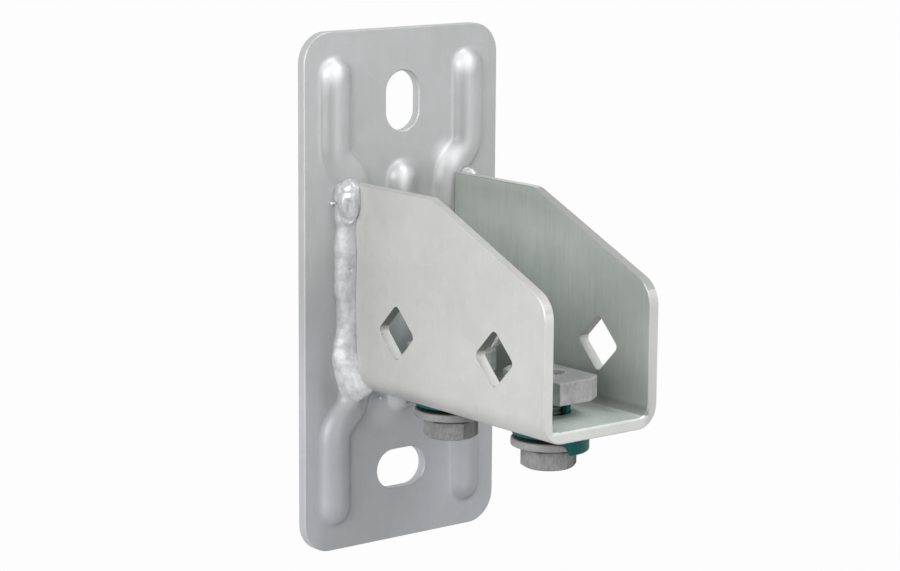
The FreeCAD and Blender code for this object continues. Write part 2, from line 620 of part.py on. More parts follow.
def make_retainer(name):
    """Plastic piece: flange under the web, part-round sleeve above it and skirt round the washer."""
    body = new_body(f"retainer_{name}")
    bore = "(bolt_diameter / 2 + bolt_running_clearance)"
    flange = new_sketch(body, f"flange_{name}_section", "XZ_Plane")
    add_outline(flange, [(bore, "-flange_thickness"), ("flange_diameter / 2", "-flange_thickness"),
                         ("flange_diameter / 2", "0"), (bore, "0")])
    feature(body, "Revolution", f"flange_{name}", flange, Angle="360", ReferenceAxis=(flange, ["V_Axis"]))
    document.recompute()

    sleeve = new_sketch(body, f"sleeve_{name}_section", "XZ_Plane")
    root = "-flange_thickness / 2"
    add_outline(sleeve, [(bore, root), (SLEEVE_RADIUS, root),
                         (SLEEVE_RADIUS, SLEEVE_TOP), (bore, SLEEVE_TOP)])
    feature(body, "Revolution", f"sleeve_{name}", sleeve, Angle="sleeve_sweep", Midplane=True,
            ReferenceAxis=(sleeve, ["V_Axis"]))
    document.recompute()

    skirt = new_sketch(body, f"skirt_{name}_section", "XZ_Plane")
    root = "(flange_diameter / 2 - skirt_bridge)"
    bottom = f"({LIP_TOP} - skirt_lip_height)"
    lip = f"({SKIRT_INSIDE} - skirt_lip)"
    add_outline(skirt, [(root, "-skirt_drop"), (root, "-flange_thickness"),
                        (SKIRT_INSIDE, "-flange_thickness"), (SKIRT_INSIDE, LIP_TOP),
                        (lip, LIP_TOP), (lip, bottom), (f"{SKIRT_OUTSIDE} - skirt_bevel", bottom),
                        (SKIRT_OUTSIDE, f"{bottom} + skirt_bevel"), (SKIRT_OUTSIDE, "-skirt_drop")])
    feature(body, "Revolution", f"skirt_{name}", skirt, Angle="skirt_sweep", Midplane=True,
            ReferenceAxis=(skirt, ["V_Axis"]))
    document.recompute()
    return body


def make_nut_plate(name):
    """Oblong nut, narrow enough for the rail's mouth, with two corners cut off that lead when it turns."""
    body = new_body(f"nut_plate_{name}")
    outline = new_sketch(body, f"nut_{name}_outline", "XY_Plane", ("0", "0", NUT_BOTTOM))
    across = "nut_width / 2"
    along = "nut_length / 2"
    cut_across = f"({across} - nut_corner_across)"
    cut_along = f"({along} - nut_corner_along)"
    add_outline(outline, [(f"-{across}", f"-{along}"), (cut_across, f"-{along}"), (across, f"-{cut_along}"),
                          (across, along), (f"-{cut_across}", along), (f"-{across}", cut_along)])
    block = feature(body, "Pad", f"nut_{name}_block", outline, Length="nut_thickness")
    document.recompute()
    rim = edges_where(block.Shape, lambda middle, tangent, edge: abs(tangent.z) < 0.1)
    dress(body, "Chamfer", f"nut_{name}_edges", block, rim, "nut_edge_chamfer")

    bore = new_sketch(body, f"nut_{name}_bore_outline", "XY_Plane", ("0", "0", NUT_BOTTOM))
    add_circle(bore, ("0", "0"), "thread_diameter / 2")
    drilled = feature(body, "Pocket", f"nut_{name}_bore", bore, Type="ThroughAll", Midplane=True)
    document.recompute()
    top = size(NUT_TOP)
    mouth = size("thread_diameter / 2")
    edges = edges_where(drilled.Shape, lambda middle, tangent, edge: near(middle.z, top)
                        and near(math.hypot(middle.x, middle.y), mouth))
    dress(body, "Chamfer", f"nut_{name}_countersink", drilled, edges, "nut_countersink")
    return body


def make_weld(name, side, plate, channel):
    """Bead up one outer corner between channel and plate, round the bend below, a lump at each end."""
    blank = new_body(f"weld_{name}_blank")
    hub = (f"{side} * {BEND_MIDDLE_OFFSET}", "0", BEND_MIDDLE_LEVEL)
    run = new_sketch(blank, f"weld_{name}_run_section", "XY_Plane", hub)
    add_weld_section(run, side)
    feature(blank, "Pad", f"weld_{name}_run", run,
            Length=f"channel_top - weld_top_drop - {BEND_MIDDLE_LEVEL}")
    document.recompute()
    turn = new_sketch(blank, f"weld_{name}_turn_section", "XY_Plane", hub)
    add_weld_section(turn, side)
    feature(blank, "Revolution", f"weld_{name}_turn", turn, Angle="weld_foot_sweep", Reversed=side < 0,
            ReferenceAxis=(turn, ["V_Axis"]))
    document.recompute()
    out = f"({BEND_OUTSIDE_RADIUS} + weld_foot_blob_out)"
    top_lump = (f"{side} * ({WALL_OUTSIDE} + weld_top_blob_out)",
                f"-{CHANNEL_REAR} + weld_top_blob_back",
                "channel_top - weld_top_drop")
    foot_lump = (f"{side} * ({BEND_MIDDLE_OFFSET} + {out} * cos(weld_foot_sweep))",
                 f"-{CHANNEL_REAR} - weld_foot_blob_forward",
                 f"{BEND_MIDDLE_LEVEL} - {out} * sin(weld_foot_sweep)")
    for place, middle in (("top", top_lump), ("foot", foot_lump)):
        lump = feature(blank, "AdditiveSphere", f"weld_{name}_{place}_lump", None,
                       Radius=f"weld_{place}_blob")
        lump.AttachmentSupport = (origin_part(blank, "XY_Plane"), [""])
        lump.MapMode = "FlatFace"
        for axis, text in zip("xyz", middle):
            lump.setExpression("AttachmentOffset.Base." + axis, bound(text))
        document.recompute()
    shape = blank
    for tool in (plate, channel):
        cut = document.addObject("Part::Cut", f"weld_{name}_off_{tool.Name}")
        cut.Base = shape
        cut.Tool = tool
        shape = cut
    document.recompute()
    shape.Label = f"weld_{name}"
    return shape


def add_weld_section(sketch, side):
    """Weld across its run: a toe on the wall, a toe on the plate, a swollen face and the root."""
    wall = BEND_OUTSIDE_RADIUS
    wall_toe = (f"{side} * {wall}", f"-{CHANNEL_REAR} - weld_wall_leg")
    plate_toe = (f"{side} * ({wall} + weld_plate_leg)", "-plate_thickness")
    root = f"{side} * ({wall} - weld_root)"
    corners = [plate_toe, (root, "-plate_thickness"), (root, f"-{CHANNEL_REAR}"),
               (f"{side} * {wall}", f"-{CHANNEL_REAR}"), wall_toe]
    last = add_open_outline(sketch, corners)
    rise = "(rib_height + fit_up_gap + weld_wall_leg)"
    chord = f"sqrt(weld_plate_leg ^ 2 + {rise} ^ 2)"
    middle_x = f"({wall} + weld_plate_leg / 2)"
    middle_y = f"(plate_thickness + {rise} / 2)"
    swell = (f"{side} * ({middle_x} + weld_crown * {rise} / {chord})",
             f"-({middle_y} + weld_crown * weld_plate_leg / {chord})")
    back = f"(({chord} ^ 2 / 4 - weld_crown ^ 2) / (2 * weld_crown))"
    hub = (f"{side} * ({middle_x} - {back} * {rise} / {chord})",
           f"-({middle_y} - {back} * weld_plate_leg / {chord})")
    face = sketch.addGeometry(Part.Arc(spot(corners[0]), spot(swell), spot(corners[-1])), False)
    pin(sketch, face, 3, hub, "X")
    tie(sketch, face, (0, 1))
    tie(sketch, face, (last, 2))


wall_plate = make_wall_plate()
channel = make_channel()
pieces = [wall_plate, channel]
for name, data in CLAMPS.items():
    turns = ((make_bolt, data["head_turn"]), (make_washer, 0),
             (make_retainer, data["skirt_turn"]), (make_nut_plate, 0))
    for make, turn in turns:
        piece = make(name)
        stand_on_clamp(piece, data["step"], turn)
        pieces.append(piece)
for name, side in WELD_SIDES.items():
    pieces.append(make_weld(name, side, wall_plate, channel))
document.recompute()

for item in document.Objects:
    if "Invalid" in item.State or "Error" in item.State:
        raise RuntimeError(f"{item.Name} failed: {item.State}")
for piece in pieces:
    if piece.Shape.isNull() or not piece.Shape.isValid() or len(piece.Shape.Solids) != 1:
        raise RuntimeError(f"{piece.Label} is not one sound solid")

os.makedirs("parts", exist_ok=True)
for piece in pieces:
    piece.Shape.exportStep(f"parts/{piece.Label}.step")
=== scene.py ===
"""Galvanised wall bracket for a strut rail: finishes, weld beads, threaded bolts, zinc drips and studio.

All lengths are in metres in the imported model's own frame: the wall at y = 0, the channel towards -Y, +Z up.
"""

import math

import bmesh
import bpy
from bpy.props import FloatProperty, FloatVectorProperty, IntProperty, PointerProperty
from mathutils import Matrix, Vector, noise


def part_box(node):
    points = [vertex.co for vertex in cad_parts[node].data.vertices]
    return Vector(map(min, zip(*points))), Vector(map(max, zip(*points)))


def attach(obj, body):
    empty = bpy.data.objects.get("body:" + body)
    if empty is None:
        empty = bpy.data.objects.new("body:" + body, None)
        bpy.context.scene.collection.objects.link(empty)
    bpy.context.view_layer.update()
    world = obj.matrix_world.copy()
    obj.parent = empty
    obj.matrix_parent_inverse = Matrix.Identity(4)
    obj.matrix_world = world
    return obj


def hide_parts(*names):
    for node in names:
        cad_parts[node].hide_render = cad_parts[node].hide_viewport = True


bl_info = {
    "name": "Strut rail wall bracket",
    "version": (1, 0, 0),
    "blender": (4, 5, 0),
    "location": "View3D > Sidebar > Bracket",
    "description": "Finishes, weld beads, bolts, drips and studio of a galvanised wall bracket",
    "category": "Object",
}

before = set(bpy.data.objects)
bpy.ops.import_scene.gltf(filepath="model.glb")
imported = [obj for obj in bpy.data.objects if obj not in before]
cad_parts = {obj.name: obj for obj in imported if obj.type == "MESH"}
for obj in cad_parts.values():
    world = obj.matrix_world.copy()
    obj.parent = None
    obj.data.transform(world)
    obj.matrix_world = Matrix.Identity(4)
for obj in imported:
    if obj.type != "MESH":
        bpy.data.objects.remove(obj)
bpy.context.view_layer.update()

CLAMPS = ("rear", "front")
SIDES = {"left": -1, "right": 1}
MILLI = 0.001


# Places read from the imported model

def middle(node):
    """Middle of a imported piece's box."""
    low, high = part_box(node)
    return (low + high) / 2


CHANNEL_LOW, CHANNEL_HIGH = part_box("channel")
REAR = CHANNEL_HIGH.y
NOSE = CHANNEL_LOW.y
HALF_WIDTH = CHANNEL_HIGH.x
UNDERSIDE = CHANNEL_LOW.z
CHANNEL_TOP = CHANNEL_HIGH.z
CLAMP_AXES = [sum(corner.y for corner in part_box(f"washer_{name}")) / 2 for name in CLAMPS]

# Thickness of plate and channel, and the slots' places above and below the plate's middle
SHEET = 0.004
PLATE_FACE = -SHEET
SLOT_HEIGHT = 0.067
# Where the channel's walls begin to fall towards the nose, and how far they have fallen there
SLOPE_START = -0.0512
SLOPE_FALL = 0.0265
# Painted light, four highlights on the ribs and one pool on the plate by the weld's foot: across, up, radius
PAINTED_LIGHT_SPOTS = ((-0.0320, 0.0792, 0.0060), (0.0267, 0.0794, 0.0058), (0.0190, 0.0470, 0.0072),
             (-0.0020, 0.0400, 0.0060), (-0.0080, -0.0415, 0.0120))


# Sizes and colours that a user would change

def metres(name, description, default):
    """A length."""
    return FloatProperty(name=name, description=description, subtype="DISTANCE", unit="LENGTH",
                         default=default)


def degrees(name, description, default):
    """An angle, given in degrees and held in radians."""
    return FloatProperty(name=name, description=description, subtype="ANGLE", unit="ROTATION",
                         default=math.radians(default))


def rgb(name, description, *default):
    """A colour."""
    return FloatVectorProperty(name=name, description=description, subtype="COLOR", size=3, min=0, max=1,
                               default=default)


class BRACKET_PG_finish(bpy.types.PropertyGroup):
    """Colours and grain of the metal and the plastic."""
    plate_colour: rgb("Plate zinc", "Zinc on the wall plate", 0.517, 0.521, 0.526)
    channel_colour: rgb("Channel zinc", "Zinc on the outside of the channel", 0.63, 0.63, 0.62)
    inside_colour: rgb("Channel inside", "Duller zinc on the inside of the channel", 0.655, 0.713, 0.677)
    weld_colour: rgb("Weld zinc", "Zinc over the weld beads", 0.47, 0.475, 0.485)
    bolt_colour: rgb("Bolt zinc", "Thin zinc plating of the bolts", 0.30, 0.30, 0.30)
    washer_colour: rgb("Washer zinc", "Thin zinc plating of the washers", 0.33, 0.325, 0.325)
    nut_colour: rgb("Nut plate zinc", "Flaked zinc on the nut plates", 0.485, 0.48, 0.485)
    plastic_colour: rgb("Retainer plastic", "Moulded plastic of the retainers", 0.002, 0.125, 0.122)
    rib_softness: metres("Rib softness", "Radius over which light softens along the pressed ribs", 0.0026)
    edge_rounding: metres("Edge rounding", "Radius over which light softens at an edge", 0.00014)


class BRACKET_PG_weld(bpy.types.PropertyGroup):
    """Sizes of the two weld beads."""
    plate_face: metres("Plate face", "Depth of the wall plate's face", SHEET)
    bend_radius: metres("Bend radius", "Outside radius of the channel's bend", 0.008)
    foot_sweep: degrees("Foot sweep", "How far the bead goes round the bend", 84)
    end_length: metres("End length", "Rounded end of the bead at its foot", 0.0032)
    grain: metres("Mesh grain", "Size of the bead's mesh cells", 0.00028)
    ripple: metres("Ripple", "Height of the solidified ripples", 0.00001)
    ripple_pitch: metres("Ripple pitch", "Distance from ripple to ripple", 0.0019)
    hollow: metres("End hollow", "Depth of the hollow in the lump where the arc was stopped", 0.0014)
    right_lump: FloatProperty(
        name="Right lump", description="Size of the right bead's lump against the left one's", default=0.85)


class BRACKET_PG_bolt(bpy.types.PropertyGroup):
    """Sizes of the two clamp bolts."""
    across_flats: metres("Across flats", "Hexagon head, flat to flat", 0.017)
    face_radius: metres("Face radius", "Flat disc on the head's outer face", 0.0081)
    bearing_height: metres("Bearing disc", "Thin round disc of the head that bears on the washer", 0.0012)
    corner_round: metres("Corner rounding", "How much the head's corners are rubbed off", 0.00012)
    thread_radius: metres("Thread radius", "Crest of the thread", 0.00495)
    thread_depth: metres("Thread depth", "Crest to root of the thread", 0.0008)
    pitch: metres("Pitch", "Thread pitch", 0.0015)
    around: IntProperty(
        name="Steps round", description="Mesh steps round a bolt, a multiple of six", default=72)
    head_turn_rear: degrees("Rear head turn", "Turn of the rear head", -11)
    head_turn_front: degrees("Front head turn", "Turn of the front head", 0)


class BRACKET_PG_clamp(bpy.types.PropertyGroup):
    """Sizes of the clamps' washers, nut plates and plastic retainers."""
    around: IntProperty(name="Steps round", description="Mesh steps round a clamp's piece", default=96)
    washer_bore: metres("Washer bore", "Radius of the washer's hole", 0.00525)
    thread_radius: metres("Tapped hole", "Radius of the nut plate's tapped hole", 0.0050)
    nut_cut_across: metres("Nut corner across", "Cut off two corners of the nut plate, across it", 0.0053)
    nut_cut_along: metres("Nut corner along", "Cut off two corners of the nut plate, along it", 0.0034)
    nut_edge: metres("Nut edge", "Broken edges of the nut plate", 0.00035)
    retainer_bore: metres("Retainer bore", "Radius of the retainer's hole", 0.00508)
    flange_height: metres("Flange height", "Thickness of the retainer's flange", 0.0035)
    sleeve_radius: metres("Sleeve radius", "Outside of the sleeve in the web's hole", 0.0073)
    sleeve_height: metres("Sleeve height", "Top of the sleeve above the web's underside", 0.0096)
    sleeve_sweep: degrees("Sleeve sweep", "Part of the turn that the sleeve covers", 96)
    skirt_wall: metres("Skirt wall", "Thickness of the skirt", 0.0005)
    skirt_sweep: degrees("Skirt sweep", "Part of the turn that the skirt covers", 192)
    skirt_turn_rear: degrees("Rear skirt turn", "Turn of the rear skirt's middle", 32)
    skirt_turn_front: degrees("Front skirt turn", "Turn of the front skirt's middle", -28)


class BRACKET_PG_stage(bpy.types.PropertyGroup):
    """Floor, lamps and camera."""
    floor_level: metres("Floor level", "Height of the floor", -0.30)
    floor_size: metres("Floor size", "Side of the floor", 60)
    world_strength: FloatProperty(
        name="Room light", description="Even light of the room", default=0.1)
    camera_place: FloatVectorProperty(
        name="Camera place", description="Where the camera stands", subtype="XYZ", unit="LENGTH",
        size=3, default=(-0.58267, -0.76078, 0.17899))
    camera_turn: FloatVectorProperty(
        name="Camera turn", description="Turn of the camera about X, Y and Z", subtype="EULER",
        unit="ROTATION", size=3, default=[math.radians(part) for part in (79.4075, -0.4304, -38.5454)])
    camera_lens: FloatProperty(
        name="Lens", description="Focal length in millimetres for a sensor of 36 mm", default=108.138)


def settings(name):
    """One of the panel's groups of sizes."""
    return getattr(bpy.context.scene, "bracket_" + name)


# Node materials

def is_socket(value):
    """Whether a value comes from another node."""
    return isinstance(value, bpy.types.NodeSocket)


def fill(socket, value):
    """Links an input to another node's output, or sets it to a plain value."""
    if is_socket(value):
        socket.id_data.links.new(value, socket)
    else:
        socket.default_value = value


def add_node(kind, tree=None, **sockets):
    """A node with its inputs and its own settings set or linked; the linked sockets tell its tree."""
    tree = tree or next(value.id_data for value in sockets.values() if is_socket(value))
    item = tree.nodes.new("ShaderNode" + kind)
    for name, value in sockets.items():
        if hasattr(item, name) and name not in item.inputs:
            setattr(item, name, value)
        else:
            fill(item.inputs[int(name[1:]) if name[1:].isdigit() else name], value)
    return item


def new_material(name):
    """A material, with its node tree, its shader and the place on the object in metres."""
    material = bpy.data.materials.new(name)
    material.use_nodes = True
    tree = material.node_tree
    return material, tree, tree.nodes["Principled BSDF"], add_node("TexCoord", tree).outputs["Object"]


def ramp(source, low, high, start=0.0, end=1.0, kind="LINEAR"):
    """A value drawn from one range onto another, held at the ends."""
    ends = {"From Min": low, "From Max": high, "To Min": start, "To Max": end}
    return add_node("MapRange", Value=source, interpolation_type=kind, **ends).outputs["Result"]


def maths(kind, *values):
    """Arithmetic on two or more values or sockets, in their order."""
    result = values[0]
    for value in values[1:]:
        result = add_node("Math", operation=kind, i0=result, i1=value).outputs[0]
    return result


def times(*values):
    """Product of values or sockets."""
    return maths("MULTIPLY", *values)


def plus(*values):
    """Sum of values or sockets."""
    return maths("ADD", *values)


def minus(*values):
    """The first value or socket less the ones after it."""
    return maths("SUBTRACT", *values)


def absolute(value):
    """A value without its sign."""
    return maths("ABSOLUTE", value, 0.0)


def where(value, mask, factor):
    """A value that is multiplied by a factor where a mask is 1."""
    return times(value, ramp(mask, 0, 1, 1.0, factor))


def split(vector):
    """X, Y and Z of a place or a direction."""
    return add_node("SeparateXYZ", Vector=vector).outputs


def facing(parts, kind="True Normal"):
    """X, Y and Z of the way a surface faces, in the same node tree as a place's own."""
    return split(add_node("NewGeometry", parts["X"].id_data).outputs[kind])


def reach_from(first, second, centre=(0, 0)):
    """Distance from a centre in a plane."""
    flat = add_node("CombineXYZ", i0=first, i1=second).outputs[0]
    return add_node("VectorMath", operation="DISTANCE", i0=flat, i1=(*centre, 0)).outputs["Value"]


def tint(base, share, other, kind="MIX"):
    """Blends a second colour into a base colour by a share."""
    return add_node("Mix", data_type="RGBA", blend_type=kind, i0=share, i6=base, i7=other).outputs[2]


def scaled(painted, level):
    """A colour multiplied by a value."""
    grey = add_node("CombineColor", i0=level, i1=level, i2=level).outputs[0]
    return tint(painted, 1.0, grey, "MULTIPLY")


def shade(colour, share=1.0):
    """Colour with an alpha, scaled."""
    return (*(min(1.0, part * share) for part in colour), 1.0)


def grain(place, scale, detail=3.0, roughness=0.55, stretch=(1, 1, 1)):
    """Noise at a scale per metre, drawn out along an axis by stretch."""
    mapped = add_node("Mapping", Vector=place, Scale=tuple(scale * part for part in stretch))
    return add_node("TexNoise", Vector=mapped.outputs["Vector"], Scale=1.0, Detail=detail,
                    Roughness=roughness).outputs["Fac"]


def edges_rubbed_and_highlit(tree, share=1.0):
    """A normal rounded at the edges, and 1 on an edge or 0 on a flat, from how far that normal turns."""
    radius = settings("finish").edge_rounding * share
    normal = add_node("Bevel", tree, samples=4, Radius=radius).outputs["Normal"]
    plain = add_node("NewGeometry", tree).outputs["Normal"]
    dot = add_node("VectorMath", operation="DOT_PRODUCT", i0=normal, i1=plain).outputs["Value"]
    return normal, ramp(dot, 0.995, 0.80)


def crevice_shade(tree, painted, reach, darkest=0.2, low=0.3, high=0.8):
    """Painted shade: darkens a colour in crevices, where other surfaces stand close by."""
    closed = add_node("AmbientOcclusion", tree, samples=8, Distance=reach).outputs["AO"]
    return scaled(painted, ramp(closed, low, high, darkest, 1.0))


def connect(shader, colour, rough, height, normal, metallic, relief=0.00006, specular=0.5):
    """Connects colour, roughness and relief to the shader."""
    bump = add_node("Bump", Height=height, Strength=0.5, Distance=relief)
    if normal is not None:
        fill(bump.inputs["Normal"], normal)
    for name, value in (("Base Color", colour), ("Roughness", rough), ("Normal", bump.outputs["Normal"]),
                        ("Metallic", metallic), ("IOR", 1.5), ("Specular IOR Level", specular)):
        fill(shader.inputs[name], value)


def zinc(name, colour, grade, soft=None, inside=None):
    """Galvanised sheet: soft clouds, crystals and grain, streaked and with painted light and shade on the
    channel's inside.
    """
    material, tree, shader, place = new_material(name)
    parts = split(place)
    clouds = grain(place, 38, 2.0)
    crystals = add_node("TexVoronoi", Vector=place, Scale=260.0, feature="F1")
    flakes = add_node("SeparateColor", Color=crystals.outputs["Color"]).outputs[0]
    fine = grain(place, 1500, 4.0, 0.65)
    drawn = grain(place, 620, 3.0, 0.6, (1, 1, 0.06))
    mottle = 0.05
    layers = ((clouds, 0.3, 0.7, 1, 0.6), (flakes, 0, 1, 0.35, 0.35),
              (fine, 0.25, 0.75, 0.35, 0.3), (drawn, 0.25, 0.75, 0.3, 0.3))
    mix = times(*(ramp(layer, low, high, 1 - mottle * darker, 1 + mottle * brighter)
                  for layer, low, high, darker, brighter in layers), grade(parts))
    base = shade(colour)
    if inside is not None:
        mask = inside_mask(parts)
        base = tint(base, mask, shade(inside))
        # Real streaks, times painted light and shade inside the channel.
        streaks = ramp(grain(place, 800, 4.0, 0.7, (1, 1, 0.05)), 0.30, 0.70, 0.91, 1.07)
        streaks_and_painted_light = times(streaks, inside_painted_light(parts), mask)
        mix = times(mix, plus(streaks_and_painted_light, minus(1.0, mask)))
    painted = scaled(base, mix)
    normal, edge = edges_rubbed_and_highlit(tree)
    if soft is not None:
        pressed = add_node("Bevel", tree, samples=8, Radius=soft).outputs["Normal"]
        normal = tint(normal, press_mask(parts), pressed)
        cool = ramp(parts["Z"], 0.02, -0.06)
        painted = tint(painted, cool, (0.985, 1.0, 1.025, 1.0), "MULTIPLY")
    # Edges a little lighter, partly as rubbed wear and partly as painted highlight.
    painted = tint(painted, times(edge, 0.1), shade(colour, 1.1))
    roughness = ramp(plus(clouds, times(fine, 0.5)), 0.5, 0.95, 0.33, 0.47)
    height = plus(times(fine, 0.6), times(drawn, 0.4))
    connect(shader, painted, roughness, height, normal, 0.28, relief=0.00005)
    return material


def head_grade(parts):
    """Painted shade on the plating: darker on one side of the heads, and in two turned rings at the bolts'
    tips.
    """
    # Painted shade on the heads' right side.
    side = times(ramp(parts["X"], 0.0040, 0.0058), ramp(parts["Y"], -0.05, -0.07, -0.50, -0.66))
    # Painted shade in two rings at the bolts' tips.
    between = sum(CLAMP_AXES) / 2
    spread = abs(CLAMP_AXES[0] - CLAMP_AXES[1]) / 2
    along = minus(absolute(minus(parts["Y"], between)), spread)
    reach = reach_from(parts["X"], along)
    inner = times(ramp(reach, 0.0020, 0.0022), ramp(reach, 0.0027, 0.0025))
    rings = maths("MAXIMUM", ramp(reach, 0.0031, 0.0033), inner)
    rings = times(rings, ramp(parts["Z"], -0.0202, -0.0198))
    return where(plus(side, 1.0), rings, 0.18)


def nut_grade(parts):
    """Painted shade on the nut plates' upper side and painted light on their edges."""
    return ramp(facing(parts)["Z"], 0.5, 0.95, 1.06, 0.83)


def slot_reach(parts):
    """Distance from the middle of the nearer slot in the plate's plane."""
    return reach_from(parts["X"], minus(absolute(parts["Z"]), SLOT_HEIGHT))


def plate_grade(parts):
    """Painted light and shade: darker at the plate's foot, lighter in the slots' cut edges, shaded on the
    ribs.
    """
    across, depth, height = (parts[name] for name in "XYZ")
    # Painted light and shade: lighter towards the top, darker towards the foot.
    sheet = ramp(height, -0.080, 0.070, 0.93, 1.06)
    # Painted light on the plate's left strip low down.
    strip = times(ramp(across, -0.034, -0.038), ramp(height, 0.0, -0.030))
    sheet = where(sheet, strip, 1.16)
    # Painted light in the slots' cut edges.
    slot = times(ramp(depth, PLATE_FACE + 0.0001, PLATE_FACE + 0.0004),
                 ramp(depth, -0.0001, -0.0004), ramp(slot_reach(parts), 0.0125, 0.0118))
    sheet = where(sheet, slot, 1.2)
    # Painted light and shade on the ribs' flanks by which way they face, and painted shade on the lower right
    # rib.
    raised = ramp(depth, PLATE_FACE - 0.00001, PLATE_FACE - 0.0005)
    lean = facing(parts, "Normal")["X"]
    lean = plus(ramp(lean, -0.55, -0.25, -0.24, 0.0), ramp(lean, -0.15, 0.20, 0.0, 0.10))
    straight = times(ramp(height, 0.040, 0.050), ramp(height, 0.078, 0.071))
    upper = times(raised, straight, lean)
    lower = times(raised, ramp(across, 0.012, 0.016), ramp(height, -0.035, -0.045), -0.13)
    sheet = times(sheet, plus(upper, lower, 1.0))
    # Painted highlights on the rib domes, and a painted pool of light on the plate by the weld's foot.
    front = ramp(depth, PLATE_FACE + 0.0010, PLATE_FACE + 0.0002)
    for x, z, radius in PAINTED_LIGHT_SPOTS:
        glow = ramp(reach_from(across, height, (x, z)), radius, 0.0, 0.0, 0.56, "SMOOTHSTEP")
        sheet = times(sheet, plus(times(glow, front), 1.0))
    return sheet


def channel_grade(parts):
    """Painted light and shade: brighter towards the nose and on its cut edge, darker on slopes and window
    roofs.
    """
    across, depth, height = (parts[name] for name in "XYZ")
    turned = facing(parts)
    rise = turned["Z"]
    # Painted light, lighter towards the nose.
    sheet = ramp(depth, -0.010, -0.105, 0.925, 1.08)
    # Painted light on the nose's cut edge.
    cut = times(ramp(depth, NOSE + 0.0005, NOSE + 0.0002), ramp(turned["Y"], -0.85, -0.98),
                ramp(across, 0.021, 0.019))
    sheet = where(sheet, cut, 1.24)
    # Painted shade on the slopes, stronger on the right wall.
    slope = times(ramp(rise, 0.5, 0.6), ramp(rise, 0.98, 0.93),
                  ramp(height, 0.009, 0.012), ramp(across, -0.02, 0.02, -0.12, -0.37))
    sheet = times(sheet, plus(slope, 1.0))
    # Painted shade on the window roofs, which face down.
    roof = times(ramp(rise, -0.5, -0.6), ramp(height, -0.0260, -0.0240))
    return where(sheet, roof, 0.45)


def press_mask(parts):
    """1 on the pressed middle of the plate, 0 on its rim and around its two slots."""
    return times(ramp(absolute(parts["X"]), 0.0395, 0.0385), ramp(absolute(parts["Z"]), 0.0900, 0.0890),
                 ramp(slot_reach(parts), 0.0120, 0.0130))


def inside_mask(parts):
    """1 on the faces inside the channel, 0 on the others."""
    inner = ramp(absolute(parts["X"]), HALF_WIDTH - SHEET + 0.0006, HALF_WIDTH - SHEET - 0.0002)
    return times(inner, ramp(parts["Z"], UNDERSIDE + SHEET - 0.001, UNDERSIDE + SHEET))


def inside_painted_light(parts):
    """Painted light and shade inside the channel: darker low down, near the walls' open edge and towards the
    nose, lighter on the web's top.
    """
    depth, height = parts["Y"], parts["Z"]
    # Painted light and shade that evens out the shadow that the left wall casts inside.
    level = times(ramp(height, -0.026, 0.025, 0.88, 1.15), ramp(height, 0.025, 0.036, 1.0, 0.82))
    fall = ramp(depth, SLOPE_START, NOSE, 0.0, SLOPE_FALL)
    below = minus(CHANNEL_TOP, fall, height)
    painted_falloff = times(ramp(below, 0.004, 0.028, 0.75, 1.26),
                 ramp(depth, -0.045, -0.105, 1.05, 0.68), ramp(height, 0.0, -0.025, 1.0, 0.60))
    web_top = ramp(height, UNDERSIDE + SHEET + 0.0003, UNDERSIDE + SHEET + 0.0009, 1.18, 0)
    return maths("MAXIMUM", times(level, painted_falloff), web_top)


def plated(name, colour, reach, mottle=0.12, grade=None):
    """Thin dull plating of small fasteners: blotches, fine grain, edges lighter as rubbed wear and painted
    highlight, painted shade in crevices.
    """
    material, tree, shader, place = new_material(name)
    blotches = grain(place, 260)
    fine = grain(place, 1700, 3.0, 0.6, (1, 1, 0.25))
    mix = times(ramp(blotches, 0.3, 0.7, 1 - mottle, 1 + mottle),
                ramp(fine, 0.3, 0.7, 1 - mottle * 0.8, 1 + mottle * 0.8))
    if grade is not None:
        mix = times(mix, grade(split(place)))
    normal, edge = edges_rubbed_and_highlit(tree, 0.8)
    # Edges lighter, partly as rubbed wear and partly as painted highlight.
    painted = tint(scaled(shade(colour), mix), times(edge, 0.35), shade(colour, 1.5))
    roughness = ramp(plus(blotches, times(fine, 0.4)), 0.4, 0.95, 0.44, 0.60)
    # Painted shade in crevices.
    connect(shader, crevice_shade(tree, painted, reach), roughness, fine, normal, 0.12, specular=0.3)
    return material


def weld_zinc(name, colour):
    """Zinc over a weld bead: shiny, with dull blotches and small pits, painted light on its foot and lump,
    painted shade in its creases.
    """
    material, tree, shader, place = new_material(name)
    height = split(place)["Z"]
    blotches = grain(place, 400, 3.0, 0.6, (1.0, 1.0, 0.75))
    fine = grain(place, 1900, 3.0, 0.6)
    mix = times(ramp(blotches, 0.32, 0.68, 0.80, 1.14), ramp(fine, 0.3, 0.7, 0.93, 1.07))
    # Painted light on the bead's foot and on the lump at its top.
    painted_light = times(ramp(height, -0.018, -0.029, 1.0, 1.55), ramp(height, 0.024, 0.032, 1.0, 1.3))
    painted = scaled(scaled(shade(colour), mix), painted_light)
    # Painted shade in the bead's creases and at its toes.
    painted = crevice_shade(tree, painted, 0.0009, 0.5, 0.25, 0.6)
    roughness = plus(ramp(height, 0.022, 0.030, 0.40, 0.20), ramp(blotches, 0.3, 0.7, 0.06, 0.0))
    connect(shader, painted, roughness, plus(blotches, times(fine, 0.4)), None, 0.25)
    return material


